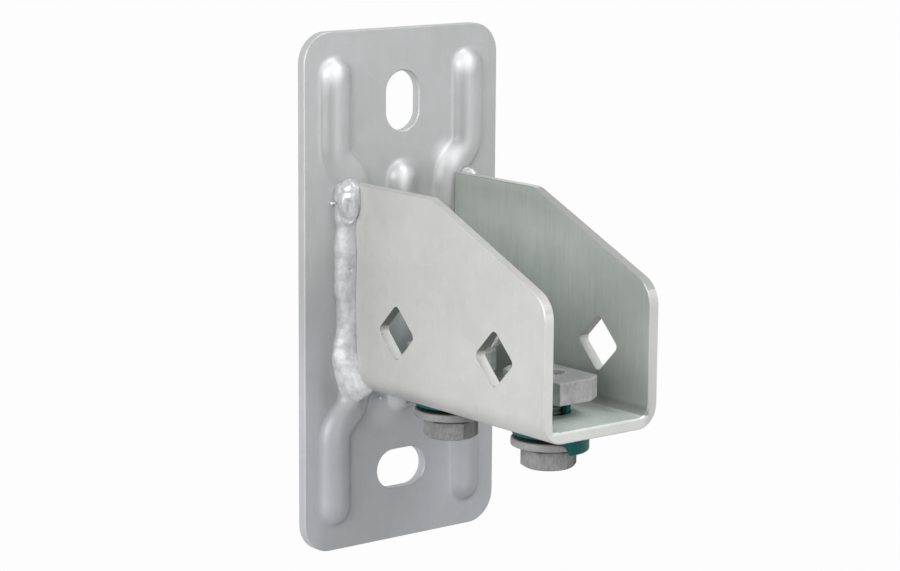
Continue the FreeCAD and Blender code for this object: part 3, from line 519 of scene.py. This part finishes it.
def moulded(name, colour):
    """Moulded plastic: even colour with a faint flow pattern and a fine skin, edges lighter as rubbed wear
    and painted highlight, painted shade in crevices.
    """
    material, tree, shader, place = new_material(name)
    flow = grain(place, 180, 2.0)
    skin = grain(place, 3000, 2.0)
    painted = tint(shade(colour), ramp(flow, 0.35, 0.7, 0.0, 0.35), shade(colour, 1.6))
    normal, edge = edges_rubbed_and_highlit(tree)
    # Edges lighter, partly as rubbed wear and partly as painted highlight.
    painted = tint(painted, times(edge, 0.3), shade(colour, 2.2))
    # Painted shade in crevices.
    painted = crevice_shade(tree, painted, 0.0030, 0.1)
    connect(shader, painted, ramp(skin, 0.3, 0.7, 0.40, 0.52), skin, normal, 0.0, specular=0.22)
    return material


def paint(node, material):
    """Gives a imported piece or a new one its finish."""
    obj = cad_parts.get(node) if isinstance(node, str) else node
    obj.data.materials.clear()
    obj.data.materials.append(material)


# Mesh helpers

def new_object(name, data):
    """A new object, linked to the scene."""
    obj = bpy.data.objects.new(name, data)
    bpy.context.scene.collection.objects.link(obj)
    return obj


def mesh_object(name, vertices, faces, smooth=True):
    """A new object from points and faces."""
    mesh = bpy.data.meshes.new(name)
    mesh.from_pydata([tuple(point) for point in vertices], [], faces)
    mesh.validate()
    mesh.update()
    for face in mesh.polygons:
        face.use_smooth = smooth
    return new_object(name, mesh)


def about(axis, radius, angle, level):
    """The point at a radius, an angle and a level about an upright axis."""
    return Vector((axis.x + radius * math.cos(angle), axis.y + radius * math.sin(angle), level))


def bands(rings, closed=True):
    """Points and faces between rings of equal count, the last ring joined to the first if closed."""
    count = len(rings[0])
    points = [point for ring in rings for point in ring]
    faces = []
    for row in range(len(rings) if closed else len(rings) - 1):
        above = (row + 1) % len(rings)
        for step in range(count):
            after = (step + 1) % count
            faces.append((row * count + step, row * count + after,
                          above * count + after, above * count + step))
    return points, faces


def loft(rings):
    """Points and faces of a tube through rings of equal count, its ends closed by fans."""
    count = len(rings[0])
    points, faces = bands(rings, closed=False)
    for ring, start, turn in ((rings[0], 0, -1), (rings[-1], (len(rings) - 1) * count, 1)):
        hub = len(points)
        points.append(sum((Vector(point) for point in ring), Vector()) / count)
        for step in range(count):
            pair = (start + step, start + (step + 1) % count)
            faces.append((hub, *pair[::turn]))
    return points, faces


def revolve(axis, profile, start, sweep, steps):
    """Points and faces of a closed profile of (radius, level) turned about an upright axis, ends capped."""
    full = sweep > 2 * math.pi - 0.001
    rings = []
    for step in range(steps if full else steps + 1):
        angle = start + sweep * step / steps
        outline = profile(angle) if callable(profile) else profile
        rings.append([about(axis, radius, angle, level) for radius, level in outline])
    return bands(rings) if full else loft(rings)


def rounded(corners, radius, steps=5):
    """An outline of (radius, level) with each corner rounded; a corner may carry its own radius."""
    outline = []
    count = len(corners)
    for index, corner in enumerate(corners):
        here = Vector(corner[:2])
        before = Vector(corners[index - 1][:2]) - here
        after = Vector(corners[(index + 1) % count][:2]) - here
        reach = corner[2] if len(corner) > 2 else radius
        reach = min(reach, before.length * 0.49, after.length * 0.49)
        first = here + before.normalized() * reach
        last = here + after.normalized() * reach
        for step in range(steps + 1):
            share = step / steps
            point = first * (1 - share) ** 2 + here * 2 * share * (1 - share) + last * share ** 2
            outline.append(tuple(point))
    return outline


def smooth(value, low, high):
    """0 below a range, 1 above it, and an even rise between."""
    share = max(0.0, min(1.0, (value - low) / (high - low)))
    return share * share * (3 - 2 * share)


def ball(centre, radii, turn=(0, 0, 0), rough=0.0, seed=0):
    """Points and faces of an ellipsoid lump, its surface made uneven by a share of its size."""
    shape = bmesh.new()
    bmesh.ops.create_icosphere(shape, subdivisions=4, radius=1)
    rotation = Matrix.Identity(3)
    for angle, axis in zip(turn, "XYZ"):
        rotation = Matrix.Rotation(angle, 3, axis) @ rotation
    shape.verts.ensure_lookup_table()
    points = []
    for vert in shape.verts:
        swell = 1 + rough * noise.noise(vert.co * 1.7 + Vector((seed, 0, 0)))
        reach = Vector(part * radius * swell for part, radius in zip(vert.co, radii))
        points.append(Vector(centre) + rotation @ reach)
    faces = [tuple(vert.index for vert in face.verts) for face in shape.faces]
    shape.free()
    return points, faces


def fuse(name, lumps, cell, passes=4):
    """Melts several closed lumps into one skin of even cells, then relaxes it."""
    points, faces = [], []
    for lump_points, lump_faces in lumps:
        start = len(points)
        points += lump_points
        faces += [tuple(index + start for index in face) for face in lump_faces]
    obj = mesh_object(name, points, faces)
    remesh = obj.modifiers.new("melt", "REMESH")
    remesh.mode = "VOXEL"
    remesh.voxel_size = cell
    relax = obj.modifiers.new("relax", "SMOOTH")
    relax.iterations = passes
    relax.factor = 0.5
    bpy.context.view_layer.update()
    evaluated = obj.evaluated_get(bpy.context.evaluated_depsgraph_get())
    skin = bpy.data.meshes.new_from_object(evaluated)
    obj.modifiers.clear()
    old = obj.data
    obj.data = skin
    bpy.data.meshes.remove(old)
    skin.name = name
    for face in skin.polygons:
        face.use_smooth = True
    return obj


# Weld beads

# Bead along its run, in millimetres: level (below the bend's start it is the way round), the legs on the
# plate and on the channel's wall, and the crown.
BEAD_RUN = (
    (40.0, 4.0, 3.1, 1.2),
    (37.0, 5.1, 3.8, 1.4),
    (32.0, 5.2, 3.6, 1.3),
    (28.0, 4.9, 2.9, 1.2),
    (24.5, 4.7, 2.2, 1.1),
    (16.5, 5.3, 2.6, 1.3),
    (9.0, 5.2, 2.4, 1.3),
    (2.0, 5.3, 2.2, 1.3),
    (-3.0, 4.5, 2.3, 1.2),
    (-12.0, 4.6, 2.4, 1.3),
    (-18.0, 5.6, 2.6, 1.4),
    (-22.5, 6.3, 3.2, 1.5),
    (-24.6, 6.2, 3.8, 1.5),
    (-27.4, 5.3, 4.3, 1.4),
    (-30.0, 5.1, 5.0, 1.2),
    (-33.0, 6.0, 5.9, 1.1),
    (-36.0, 7.4, 6.4, 1.0),
    (-39.0, 7.6, 6.6, 1.0),
)


def along_bead(level):
    """The bead's legs and crown at a level, between the rows of its run."""
    level /= MILLI
    for high, low in zip(BEAD_RUN, BEAD_RUN[1:]):
        if level >= low[0]:
            share = smooth(high[0] - level, 0, high[0] - low[0])
            return [(a + (b - a) * share) * MILLI for a, b in zip(high[1:], low[1:])]
    return [part * MILLI for part in BEAD_RUN[-1][1:]]


def bead_ring(side, sizes, travel, straight, total, seed):
    """One section of the bead: from the wall over the crown to the plate, and back inside the metal."""
    bend = Vector((side * (HALF_WIDTH - sizes.bend_radius), 0, UNDERSIDE + sizes.bend_radius))
    if travel <= straight:
        corner = Vector((side * HALF_WIDTH, 0, CHANNEL_TOP - travel))
        out = Vector((side, 0, 0))
        level = corner.z
    else:
        angle = (travel - straight) / sizes.bend_radius
        out = Vector((side * math.cos(angle), 0, -math.sin(angle)))
        corner = bend + out * sizes.bend_radius
        level = bend.z - (travel - straight)
    plate_leg, wall_leg, crown = along_bead(level)
    plate_leg += 0.00030 * noise.noise(Vector((seed, level * 190, 0.5)))
    wall_leg += 0.00022 * noise.noise(Vector((seed, level * 170, 9.5)))
    left = min(1.0, (total - travel) / sizes.end_length)
    close = max(0.12, math.sqrt(1 - (1 - left) ** 2))
    plate_leg, wall_leg, crown = plate_leg * close, wall_leg * (0.35 + 0.65 * close), crown * close
    front = -REAR - sizes.plate_face
    wall_toe = Vector((-0.0003, (front + wall_leg) * (0.45 + 0.55 * close)))
    plate_toe = Vector((plate_leg, -0.0003))
    chord = plate_toe - wall_toe
    away = Vector((-chord.y, chord.x)).normalized()
    if away.x < 0:
        away = -away
    section = []
    steps = 16
    for step in range(steps + 1):
        share = step / steps
        swell = math.sin(math.pi * share) ** 0.65
        section.append(wall_toe + chord * share + away * crown * swell)
    into_plate, into_wall = -0.0014, -0.0016
    section += [Vector((plate_leg - 0.0004, into_plate)), Vector((into_wall, into_plate)),
                Vector((into_wall, wall_toe.y - 0.0006))]
    return [corner + out * part.x - Vector((0, sizes.plate_face + part.y, 0)) for part in section]


def weld_lumps(side, sizes, seed):
    """The swept bead and, at its top, the lump where the arc was stopped."""
    straight = CHANNEL_TOP - (UNDERSIDE + sizes.bend_radius)
    total = straight + sizes.bend_radius * sizes.foot_sweep
    stations = 170
    rings = [bead_ring(side, sizes, total * step / stations, straight, total, seed)
             for step in range(stations + 1)]
    if side > 0:
        rings = [list(reversed(ring)) for ring in rings]
    size = 1 if side < 0 else sizes.right_lump
    top = CHANNEL_TOP - (0.0002 if side > 0 else 0)
    # Across, depth and drop below the top; the three radii; unevenness; seed
    balls = (
        (0.0264, -0.0081, 0.0056, (0.0042 * size, 0.0046, 0.0076 * size), 0.05, seed),
        (0.0265, -0.0084, 0.0019, (0.0036 * size, 0.0040, 0.0038), 0.06, seed + 3),
        (0.0276, -0.0066, 0.0032, (0.0029 * size, 0.0031, 0.0040 * size), 0.06, seed + 5),
    )
    return [loft(rings)] + [ball((side * across, depth, top - drop), radii, rough=rough, seed=own_seed)
                            for across, depth, drop, radii, rough, own_seed in balls]


def roughen(obj, side, sizes, seed):
    """Solidified ripples, soft lumps, the hollow and ridge of the stopped arc and a pit part way down."""
    mesh = obj.data
    mesh.update()
    normals = [vert.normal.copy() for vert in mesh.vertices]
    outward = Vector((side * 0.61, -0.79, 0))
    across = Vector((-side * 0.79, -0.61, 0))
    crown_line = Vector((side * 0.0298, -0.0120, 0))
    bead_middle = 0.0272
    pit, pit_radius, pit_depth = Vector((side * bead_middle, -0.0096, 0.0096)), 0.0008, 0.0006
    hollow_half, ridge_half, ridge_length, ridge_height = 0.0021, 0.0031, 0.0066, 0.00030
    for vert, normal in zip(mesh.vertices, normals):
        point = vert.co
        if abs(point.x) < HALF_WIDTH - 0.0045 and point.y > REAR:
            continue
        level = point.z
        bow = ((abs(point.x) - bead_middle) ** 2) * 60
        wave = math.sin(2 * math.pi * (level - bow) / sizes.ripple_pitch)
        lower = smooth(CHANNEL_TOP - 0.014 - level, 0, 0.006)
        shift = sizes.ripple * wave * lower * (0.7 + 0.6 * noise.noise(point * 220))
        shift += 0.00015 * noise.noise(point * 150 + Vector((seed, 0, 0)))
        shift += 0.00003 * noise.noise(point * 420 + Vector((0, seed, 0)))
        if normal.dot(outward) > 0:
            offset = (point - crown_line).dot(across) / hollow_half
            depth = smooth(level, 0.0262, 0.0315) * (1 - smooth(level, 0.0335, 0.0358))
            shift -= sizes.hollow * depth * max(0.0, 1 - offset * offset) ** 1.6
            away = math.hypot(offset * hollow_half / ridge_half, (level - 0.0325) / ridge_length)
            ridge = math.exp(-((away - 1) / 0.10) ** 2) * smooth(0.0345 - level, 0, 0.003)
            shift += ridge_height * ridge
        shift -= pit_depth * max(0.0, 1 - (point - pit).length / pit_radius)
        vert.co = point + normal * shift
    mesh.update()


class BRACKET_OT_weld_beads(bpy.types.Operator):
    """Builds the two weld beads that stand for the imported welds."""
    bl_idname = "bracket.weld_beads"
    bl_label = "Weld beads"

    def execute(self, context):
        sizes = settings("weld")
        material = weld_zinc("weld_zinc_skin", settings("finish").weld_colour)
        for step, (name, side) in enumerate(SIDES.items()):
            seed = 11.3 * step + 2
            obj = fuse(f"weld_bead_{name}", weld_lumps(side, sizes, seed), sizes.grain)
            roughen(obj, side, sizes, seed)
            paint(obj, material)
            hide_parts(f"weld_{name}")
            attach(obj, "bracket")
        return {"FINISHED"}


# Zinc drips

class BRACKET_OT_drips(bpy.types.Operator):
    """Adds the spatter and zinc drips that the dipping and welding left."""
    bl_idname = "bracket.drips"
    bl_label = "Zinc drips"

    def execute(self, context):
        material = weld_zinc("drip_zinc_skin", settings("finish").weld_colour)
        window = sum(corner.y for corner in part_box("washer_front")) / 2
        spots = {
            "drip_spatter": [ball((-0.0312, -0.0042, 0.0330), (0.0009, 0.0008, 0.0007), rough=0.3, seed=1),
                             ball((-0.0300, -0.0048, 0.0331), (0.0011, 0.0007, 0.0005), rough=0.3, seed=2)],
            "drip_plate": [ball((-0.0100, -0.0046, -0.0396), (0.0009, 0.0007, 0.0008), rough=0.2, seed=3)],
            "drip_rib": [ball((0.0006, -0.0076, -0.0428), (0.0012, 0.0004, 0.0004), rough=0.3, seed=4)],
            "drip_window": [ball((-0.0230, window - 0.0006, -0.0034), (0.0018, 0.0046, 0.0006),
                                 (math.radians(-43), 0, 0), 0.15, 5)],
        }
        for name, lumps in spots.items():
            obj = fuse(name, lumps, cell=0.00016, passes=3)
            paint(obj, material)
            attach(obj, "bracket")
        return {"FINISHED"}


# Clamp bolts

def hexagon_radius(angle, sizes):
    """Distance from the axis to the head's side, its corners rubbed a little."""
    sector = math.radians(60)
    offset = (angle + math.radians(90)) % sector - sector / 2
    reach = sizes.across_flats / 2 / math.cos(offset)
    corner = sizes.across_flats / 2 / math.cos(sector / 2)
    return min(reach, corner - sizes.corner_round)


def bolt_mesh(name, sizes, turn):
    """Points and faces of a bolt from its head's outer face up to the tip, threaded above the web."""
    axis = middle(f"washer_{name}")
    low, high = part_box(f"bolt_{name}")
    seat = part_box(f"washer_{name}")[0].z
    count = sizes.around
    angles = [2 * math.pi * step / count for step in range(count)]

    def ring(radii, levels):
        """A ring from a list of radii and one of levels, or from one value that holds all round."""
        radii, levels = (part if isinstance(part, list) else [part] * count for part in (radii, levels))
        return [about(axis, radius, angle + turn, level)
                for angle, radius, level in zip(angles, radii, levels)]

    slope = math.tan(math.radians(30))
    sides = [hexagon_radius(angle, sizes) for angle in angles]
    shoulder, disc_inset = 0.00025, 0.0020
    bearing = seat - sizes.bearing_height
    disc = min(sides) - disc_inset
    thread_start = UNDERSIDE - 0.001
    rings = [
        ring(sizes.face_radius * 0.6, low.z),
        ring(sizes.face_radius, low.z),
        ring(sides, [low.z + (reach - sizes.face_radius) * slope for reach in sides]),
        ring(sides, bearing - shoulder),
        ring([reach - shoulder for reach in sides], bearing),
        ring(disc, bearing),
        ring(disc, seat),
        ring(sizes.thread_radius, seat),
        ring(sizes.thread_radius, thread_start),
    ]
    pitch_rows, tip_length, tip_radius = 10, 0.0016, 0.0033
    rows = int((high.z - 0.0004 - thread_start) / (sizes.pitch / pitch_rows))
    for row in range(1, rows + 1):
        level = thread_start + row * sizes.pitch / pitch_rows
        fade = min(1.0, row / pitch_rows)
        taper = max(0.0, (level - (high.z - tip_length)) * 0.9)
        radii = []
        for angle in angles:
            phase = (level / sizes.pitch - angle / (2 * math.pi)) % 1.0
            groove = 1 - abs(2 * phase - 1)
            groove = min(1.0, max(0.0, (groove - 0.12) / 0.76))
            radii.append(sizes.thread_radius - sizes.thread_depth * groove * fade - taper)
        rings.append(ring(radii, level))
    rings.append(ring(tip_radius, high.z))
    return loft(rings)


class BRACKET_OT_bolts(bpy.types.Operator):
    """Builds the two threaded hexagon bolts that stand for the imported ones."""
    bl_idname = "bracket.bolts"
    bl_label = "Clamp bolts"

    def execute(self, context):
        sizes = settings("bolt")
        colour = settings("finish").bolt_colour
        material = plated("bolt_zinc_skin", colour, 0.0014, mottle=0.20, grade=head_grade)
        for name in CLAMPS:
            points, faces = bolt_mesh(name, sizes, getattr(sizes, "head_turn_" + name))
            obj = mesh_object(f"clamp_bolt_{name}", points, faces)
            mark_sharp(obj, math.radians(28))
            paint(obj, material)
            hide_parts(f"bolt_{name}")
            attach(obj, f"clamp_{name}")
        return {"FINISHED"}


def mark_sharp(obj, angle):
    """Keeps edges crisp where faces meet at more than an angle."""
    shape = bmesh.new()
    shape.from_mesh(obj.data)
    bmesh.ops.recalc_face_normals(shape, faces=shape.faces)
    for edge in shape.edges:
        edge.smooth = len(edge.link_faces) == 2 and edge.calc_face_angle(0) < angle
    shape.to_mesh(obj.data)
    shape.free()


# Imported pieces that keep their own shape

class BRACKET_OT_sheet_steel(bpy.types.Operator):
    """Gives the wall plate and the channel their galvanised finish."""
    bl_idname = "bracket.sheet_steel"
    bl_label = "Sheet steel"

    def execute(self, context):
        colours = settings("finish")
        skin = zinc("plate_zinc_skin", colours.plate_colour, plate_grade, soft=colours.rib_softness)
        paint("wall_plate", skin)
        skin = zinc("channel_zinc_skin", colours.channel_colour, channel_grade, inside=colours.inside_colour)
        paint("channel", skin)
        return {"FINISHED"}


def washer_mesh(name, sizes):
    """Punched washer: its upper rim rounded by the punch, its lower rim sharper."""
    low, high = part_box(f"washer_{name}")
    outside = (high.x - low.x) / 2
    corners = [(sizes.washer_bore, low.z, 0.0002), (outside, low.z, 0.00035),
               (outside, high.z, 0.0009), (sizes.washer_bore, high.z, 0.0002)]
    return revolve(middle(f"washer_{name}"), rounded(corners, 0), 0, 2 * math.pi, sizes.around)


def nut_outline(sizes, half_width, half_length, inset):
    """Distances from the axis to the nut plate's side, by angle, with its two leading corners cut off."""
    across, along = half_width - inset, half_length - inset
    first = Vector((half_width - sizes.nut_cut_across, half_length))
    last = Vector((half_width, half_length - sizes.nut_cut_along))
    outward = Vector((sizes.nut_cut_along, sizes.nut_cut_across)).normalized()
    reach_cut = first.dot(outward) - inset
    outward_angle = math.atan2(outward.y, outward.x)
    square = math.atan2(half_length, half_width)
    beside, rubbed, tiny = 0.03, 0.0003, 1e-6
    angles = {2 * math.pi * step / sizes.around for step in range(sizes.around)}
    for half in (0, math.pi):
        for angle in (square - beside, square, square + beside,
                      -math.atan2(first.y, first.x), -math.atan2(last.y, last.x)):
            angles.add((angle + half) % (2 * math.pi))
    outline = []
    for angle in sorted(angles):
        reach = min(across / max(tiny, abs(math.cos(angle))), along / max(tiny, abs(math.sin(angle))))
        if math.cos(angle) * math.sin(angle) < 0:
            folded = math.atan2(abs(math.sin(angle)), abs(math.cos(angle)))
            reach = min(reach, reach_cut / math.cos(folded - outward_angle))
        elif abs((angle - square + math.pi / 2) % math.pi - math.pi / 2) < tiny:
            reach -= rubbed
        outline.append((angle, reach))
    return outline


def nut_mesh(name, sizes):
    """Forged oblong nut with broken edges, two corners cut flat and a tapped, countersunk hole."""
    axis = middle(f"washer_{name}")
    low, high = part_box(f"nut_plate_{name}")
    half_width, half_length = (high.x - low.x) / 2, (high.y - low.y) / 2
    edge, sink = sizes.nut_edge, 0.00015
    plain, inner = (nut_outline(sizes, half_width, half_length, inset) for inset in (0, edge))
    bore, mouth = ([(angle, sizes.thread_radius + wider) for angle, _ in plain] for wider in (0, sink))
    return bands([[about(axis, radius, angle, level) for angle, radius in outline]
                  for outline, level in (
                      (bore, low.z), (inner, low.z), (plain, low.z + edge), (plain, high.z - edge),
                      (inner, high.z), (mouth, high.z), (bore, high.z - sink))])


def retainer_lumps(name, sizes):
    """Flange with a rounded foot, part-round sleeve through the web, and skirt that hooks the washer."""
    axis = middle(f"washer_{name}")
    turn = getattr(sizes, "skirt_turn_" + name)
    washer_low, washer_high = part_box(f"washer_{name}")
    washer_radius = (washer_high.x - washer_low.x) / 2
    bore = sizes.retainer_bore
    flange_low = UNDERSIDE - sizes.flange_height
    top = UNDERSIDE + sizes.sleeve_height
    flange = rounded([(bore, flange_low), (washer_radius, flange_low, 0.0013),
                      (washer_radius, UNDERSIDE, 0.0003), (bore, UNDERSIDE)], 0.0001)
    sleeve = rounded([(bore, flange_low + 0.001), (sizes.sleeve_radius, flange_low + 0.001),
                      (sizes.sleeve_radius, top, 0.0004), (bore, top)], 0.0001)
    play, lip_width = 0.0003, 0.0009
    inside = washer_radius + play
    outside = inside + sizes.skirt_wall
    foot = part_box(f"retainer_{name}")[0].z - play
    hook_top = washer_low.z - play
    sweep = sizes.skirt_sweep
    start = turn - sweep / 2
    shoulder, slope = math.radians(22), math.radians(3)

    def skirt(angle):
        """Section of the skirt, which grows out of the flange over a few degrees at both ends."""
        near_end = min(angle - start, start + sweep - angle)
        grown = smooth(near_end, shoulder, shoulder + slope)
        hint = -0.0002 - 0.0024 * min(1.0, max(0.0, near_end / shoulder))
        bottom = flange_low + hint + (foot - flange_low - hint) * grown
        ledge = max(hook_top, bottom + 0.0002)
        lip = inside - lip_width * grown
        inner, upper = washer_radius - 0.0008, UNDERSIDE - 0.0004
        corners = [(inner, upper), (inner, flange_low + 0.0004), (inside, flange_low - 0.0001),
                   (inside, ledge), (lip, ledge), (lip, bottom, 0.0003),
                   (outside, bottom, 0.0022), (outside, upper, 0.0005)]
        return rounded(corners, 0.0001, 4)

    return [revolve(axis, flange, 0, 2 * math.pi, 96),
            revolve(axis, sleeve, turn - sizes.sleeve_sweep / 2, sizes.sleeve_sweep, 48),
            revolve(axis, skirt, start, sweep, 72)]


class BRACKET_OT_clamp_parts(bpy.types.Operator):
    """Builds the punched washers, the oblong nut plates and the moulded retainers of both clamps."""
    bl_idname = "bracket.clamp_parts"
    bl_label = "Clamp parts"

    def execute(self, context):
        colours = settings("finish")
        sizes = settings("clamp")
        washer = plated("washer_zinc_skin", colours.washer_colour, 0.0030)
        nut = plated("nut_zinc_skin", colours.nut_colour, 0.0010, mottle=0.17, grade=nut_grade)
        plastic = moulded("retainer_skin", colours.plastic_colour)
        for name in CLAMPS:
            ring = mesh_object(f"clamp_washer_{name}", *washer_mesh(name, sizes))
            plate = mesh_object(f"clamp_nut_{name}", *nut_mesh(name, sizes))
            lumps = retainer_lumps(name, sizes)
            holder = fuse(f"clamp_retainer_{name}", lumps, cell=0.00018, passes=2)
            for obj, angle in ((ring, 50), (plate, 25)):
                mark_sharp(obj, math.radians(angle))
            for obj, node, material, slot, body in (
                    (ring, "washer_", washer, "washer_zinc", "clamp_" + name),
                    (plate, "nut_plate_", nut, "nut_zinc", "clamp_" + name),
                    (holder, "retainer_", plastic, "retainer_plastic", "bracket")):
                paint(obj, material)
                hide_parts(node + name)
                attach(obj, body)
        return {"FINISHED"}


# Studio

WHITE = 0.982
# Place, side and power of each soft lamp, and the point that they all face
LAMPS = {
    "lamp_left": ((-1.7, -0.3, 0.5), 1.4, 22.5),
    "lamp_left_near": ((-0.75, -0.45, 0.30), 0.5, 1.25),
    "lamp_near_front": ((0.25, -0.75, 0.80), 0.35, 4.0),
    "lamp_top": ((0.35, -0.25, 1.5), 0.6, 3.4),
    "lamp_front": ((0.3, -1.7, 0.2), 1.2, 4.4),
}
LAMP_TARGET = (0, -0.04, 0)


def seen_rays(tree):
    """1 for rays from the camera, off a glossy surface or through a clear one, 0 for soft light."""
    rays = add_node("LightPath", tree).outputs
    return maths("MAXIMUM", *(rays[f"Is {kind} Ray"] for kind in ("Camera", "Glossy", "Transmission")))


def white_floor(name, backdrop_start, backdrop_end):
    """Pale floor that keeps the object's soft shadow near it and turns to even white further off."""
    material, tree, shader, place = new_material(name)
    for socket, value in (("Base Color", (0.38, 0.38, 0.38, 1)), ("Roughness", 0.9),
                          ("Specular IOR Level", 0)):
        shader.inputs[socket].default_value = value
    glow = add_node("Emission", tree, Strength=0.66).outputs[0]
    matt = add_node("BsdfDiffuse", tree, Color=(0.5, 0.5, 0.5, 1)).outputs[0]
    near = add_node("AddShader", i0=glow, i1=matt).outputs[0]
    far = add_node("Emission", tree, Strength=WHITE).outputs[0]
    distance = add_node("VectorMath", operation="LENGTH", i0=place).outputs["Value"]
    share = ramp(distance, backdrop_start, backdrop_end)
    seen = add_node("MixShader", Fac=share, i1=near, i2=far).outputs[0]
    pick = add_node("MixShader", Fac=seen_rays(tree), i1=shader.outputs[0], i2=seen)
    tree.links.new(pick.outputs[0], tree.nodes["Material Output"].inputs["Surface"])
    return material


def room_light(strength):
    """Even grey room, white where the camera or a glossy surface sees it."""
    world = bpy.data.worlds.new("studio_room")
    bpy.context.scene.world = world
    world.use_nodes = True
    tree = world.node_tree
    tree.nodes.clear()
    seen, room = (add_node("Background", tree, Color=(1, 1, 1, 1), Strength=power).outputs[0]
                  for power in (WHITE, strength))
    pick = add_node("MixShader", Fac=seen_rays(tree), i1=room, i2=seen)
    add_node("OutputWorld", Surface=pick.outputs[0])


def soft_lamp(name, place, side, power):
    """A square soft light that faces the bracket."""
    lamp = bpy.data.lights.new(name, "AREA")
    lamp.shape = "RECTANGLE"
    lamp.size = lamp.size_y = side
    lamp.energy = power
    obj = new_object(name, lamp)
    obj.location = place
    obj.rotation_euler = (Vector(LAMP_TARGET) - Vector(place)).to_track_quat("-Z", "Y").to_euler()


class BRACKET_OT_stage(bpy.types.Operator):
    """Sets up the floor, the soft lamps, the room light and the camera."""
    bl_idname = "bracket.stage"
    bl_label = "Studio"

    def execute(self, context):
        sizes = settings("stage")
        scene = context.scene
        half = sizes.floor_size / 2
        level = sizes.floor_level
        corners = [(-half, -half, level), (half, -half, level), (half, half, level), (-half, half, level)]
        floor = mesh_object("studio_floor", corners, [(0, 1, 2, 3)], smooth=False)
        skin = white_floor("studio_floor_white", backdrop_start=0.35, backdrop_end=0.65)
        floor.data.materials.append(skin)
        room_light(sizes.world_strength)
        for name, (place, side, power) in LAMPS.items():
            soft_lamp(name, place, side, power)
        camera = bpy.data.cameras.new("photo_camera")
        camera.lens = sizes.camera_lens
        camera.sensor_width = 36
        obj = new_object("photo_camera", camera)
        obj.location = sizes.camera_place
        obj.rotation_euler = sizes.camera_turn
        scene.camera = obj
        scene.view_settings.view_transform = "Standard"
        return {"FINISHED"}


STEPS = ("sheet_steel", "weld_beads", "drips", "bolts", "clamp_parts", "stage")


class BRACKET_PT_panel(bpy.types.Panel):
    """Lists the bracket's pieces and their sizes in the sidebar."""
    bl_label = "Wall bracket"
    bl_idname = "BRACKET_PT_panel"
    bl_space_type = "VIEW_3D"
    bl_region_type = "UI"
    bl_category = "Bracket"

    def draw(self, context):
        for group in GROUPS:
            box = self.layout.box()
            box.label(text=group.title())
            for name in GROUPS[group].__annotations__:
                box.prop(settings(group), name)
        for step in STEPS:
            self.layout.operator("bracket." + step)


GROUPS = {
    "finish": BRACKET_PG_finish,
    "weld": BRACKET_PG_weld,
    "bolt": BRACKET_PG_bolt,
    "clamp": BRACKET_PG_clamp,
    "stage": BRACKET_PG_stage,
}
CLASSES = (*GROUPS.values(), BRACKET_OT_sheet_steel, BRACKET_OT_weld_beads, BRACKET_OT_drips,
           BRACKET_OT_bolts, BRACKET_OT_clamp_parts, BRACKET_OT_stage, BRACKET_PT_panel)


def register():
    for kind in CLASSES:
        bpy.utils.register_class(kind)
    for name, kind in GROUPS.items():
        setattr(bpy.types.Scene, "bracket_" + name, PointerProperty(type=kind))


def unregister():
    for name in GROUPS:
        delattr(bpy.types.Scene, "bracket_" + name)
    for kind in reversed(CLASSES):
        bpy.utils.unregister_class(kind)


def main():
    register()
    for step in STEPS:
        getattr(bpy.ops.bracket, step)()


if __name__ == "__main__":
    main()
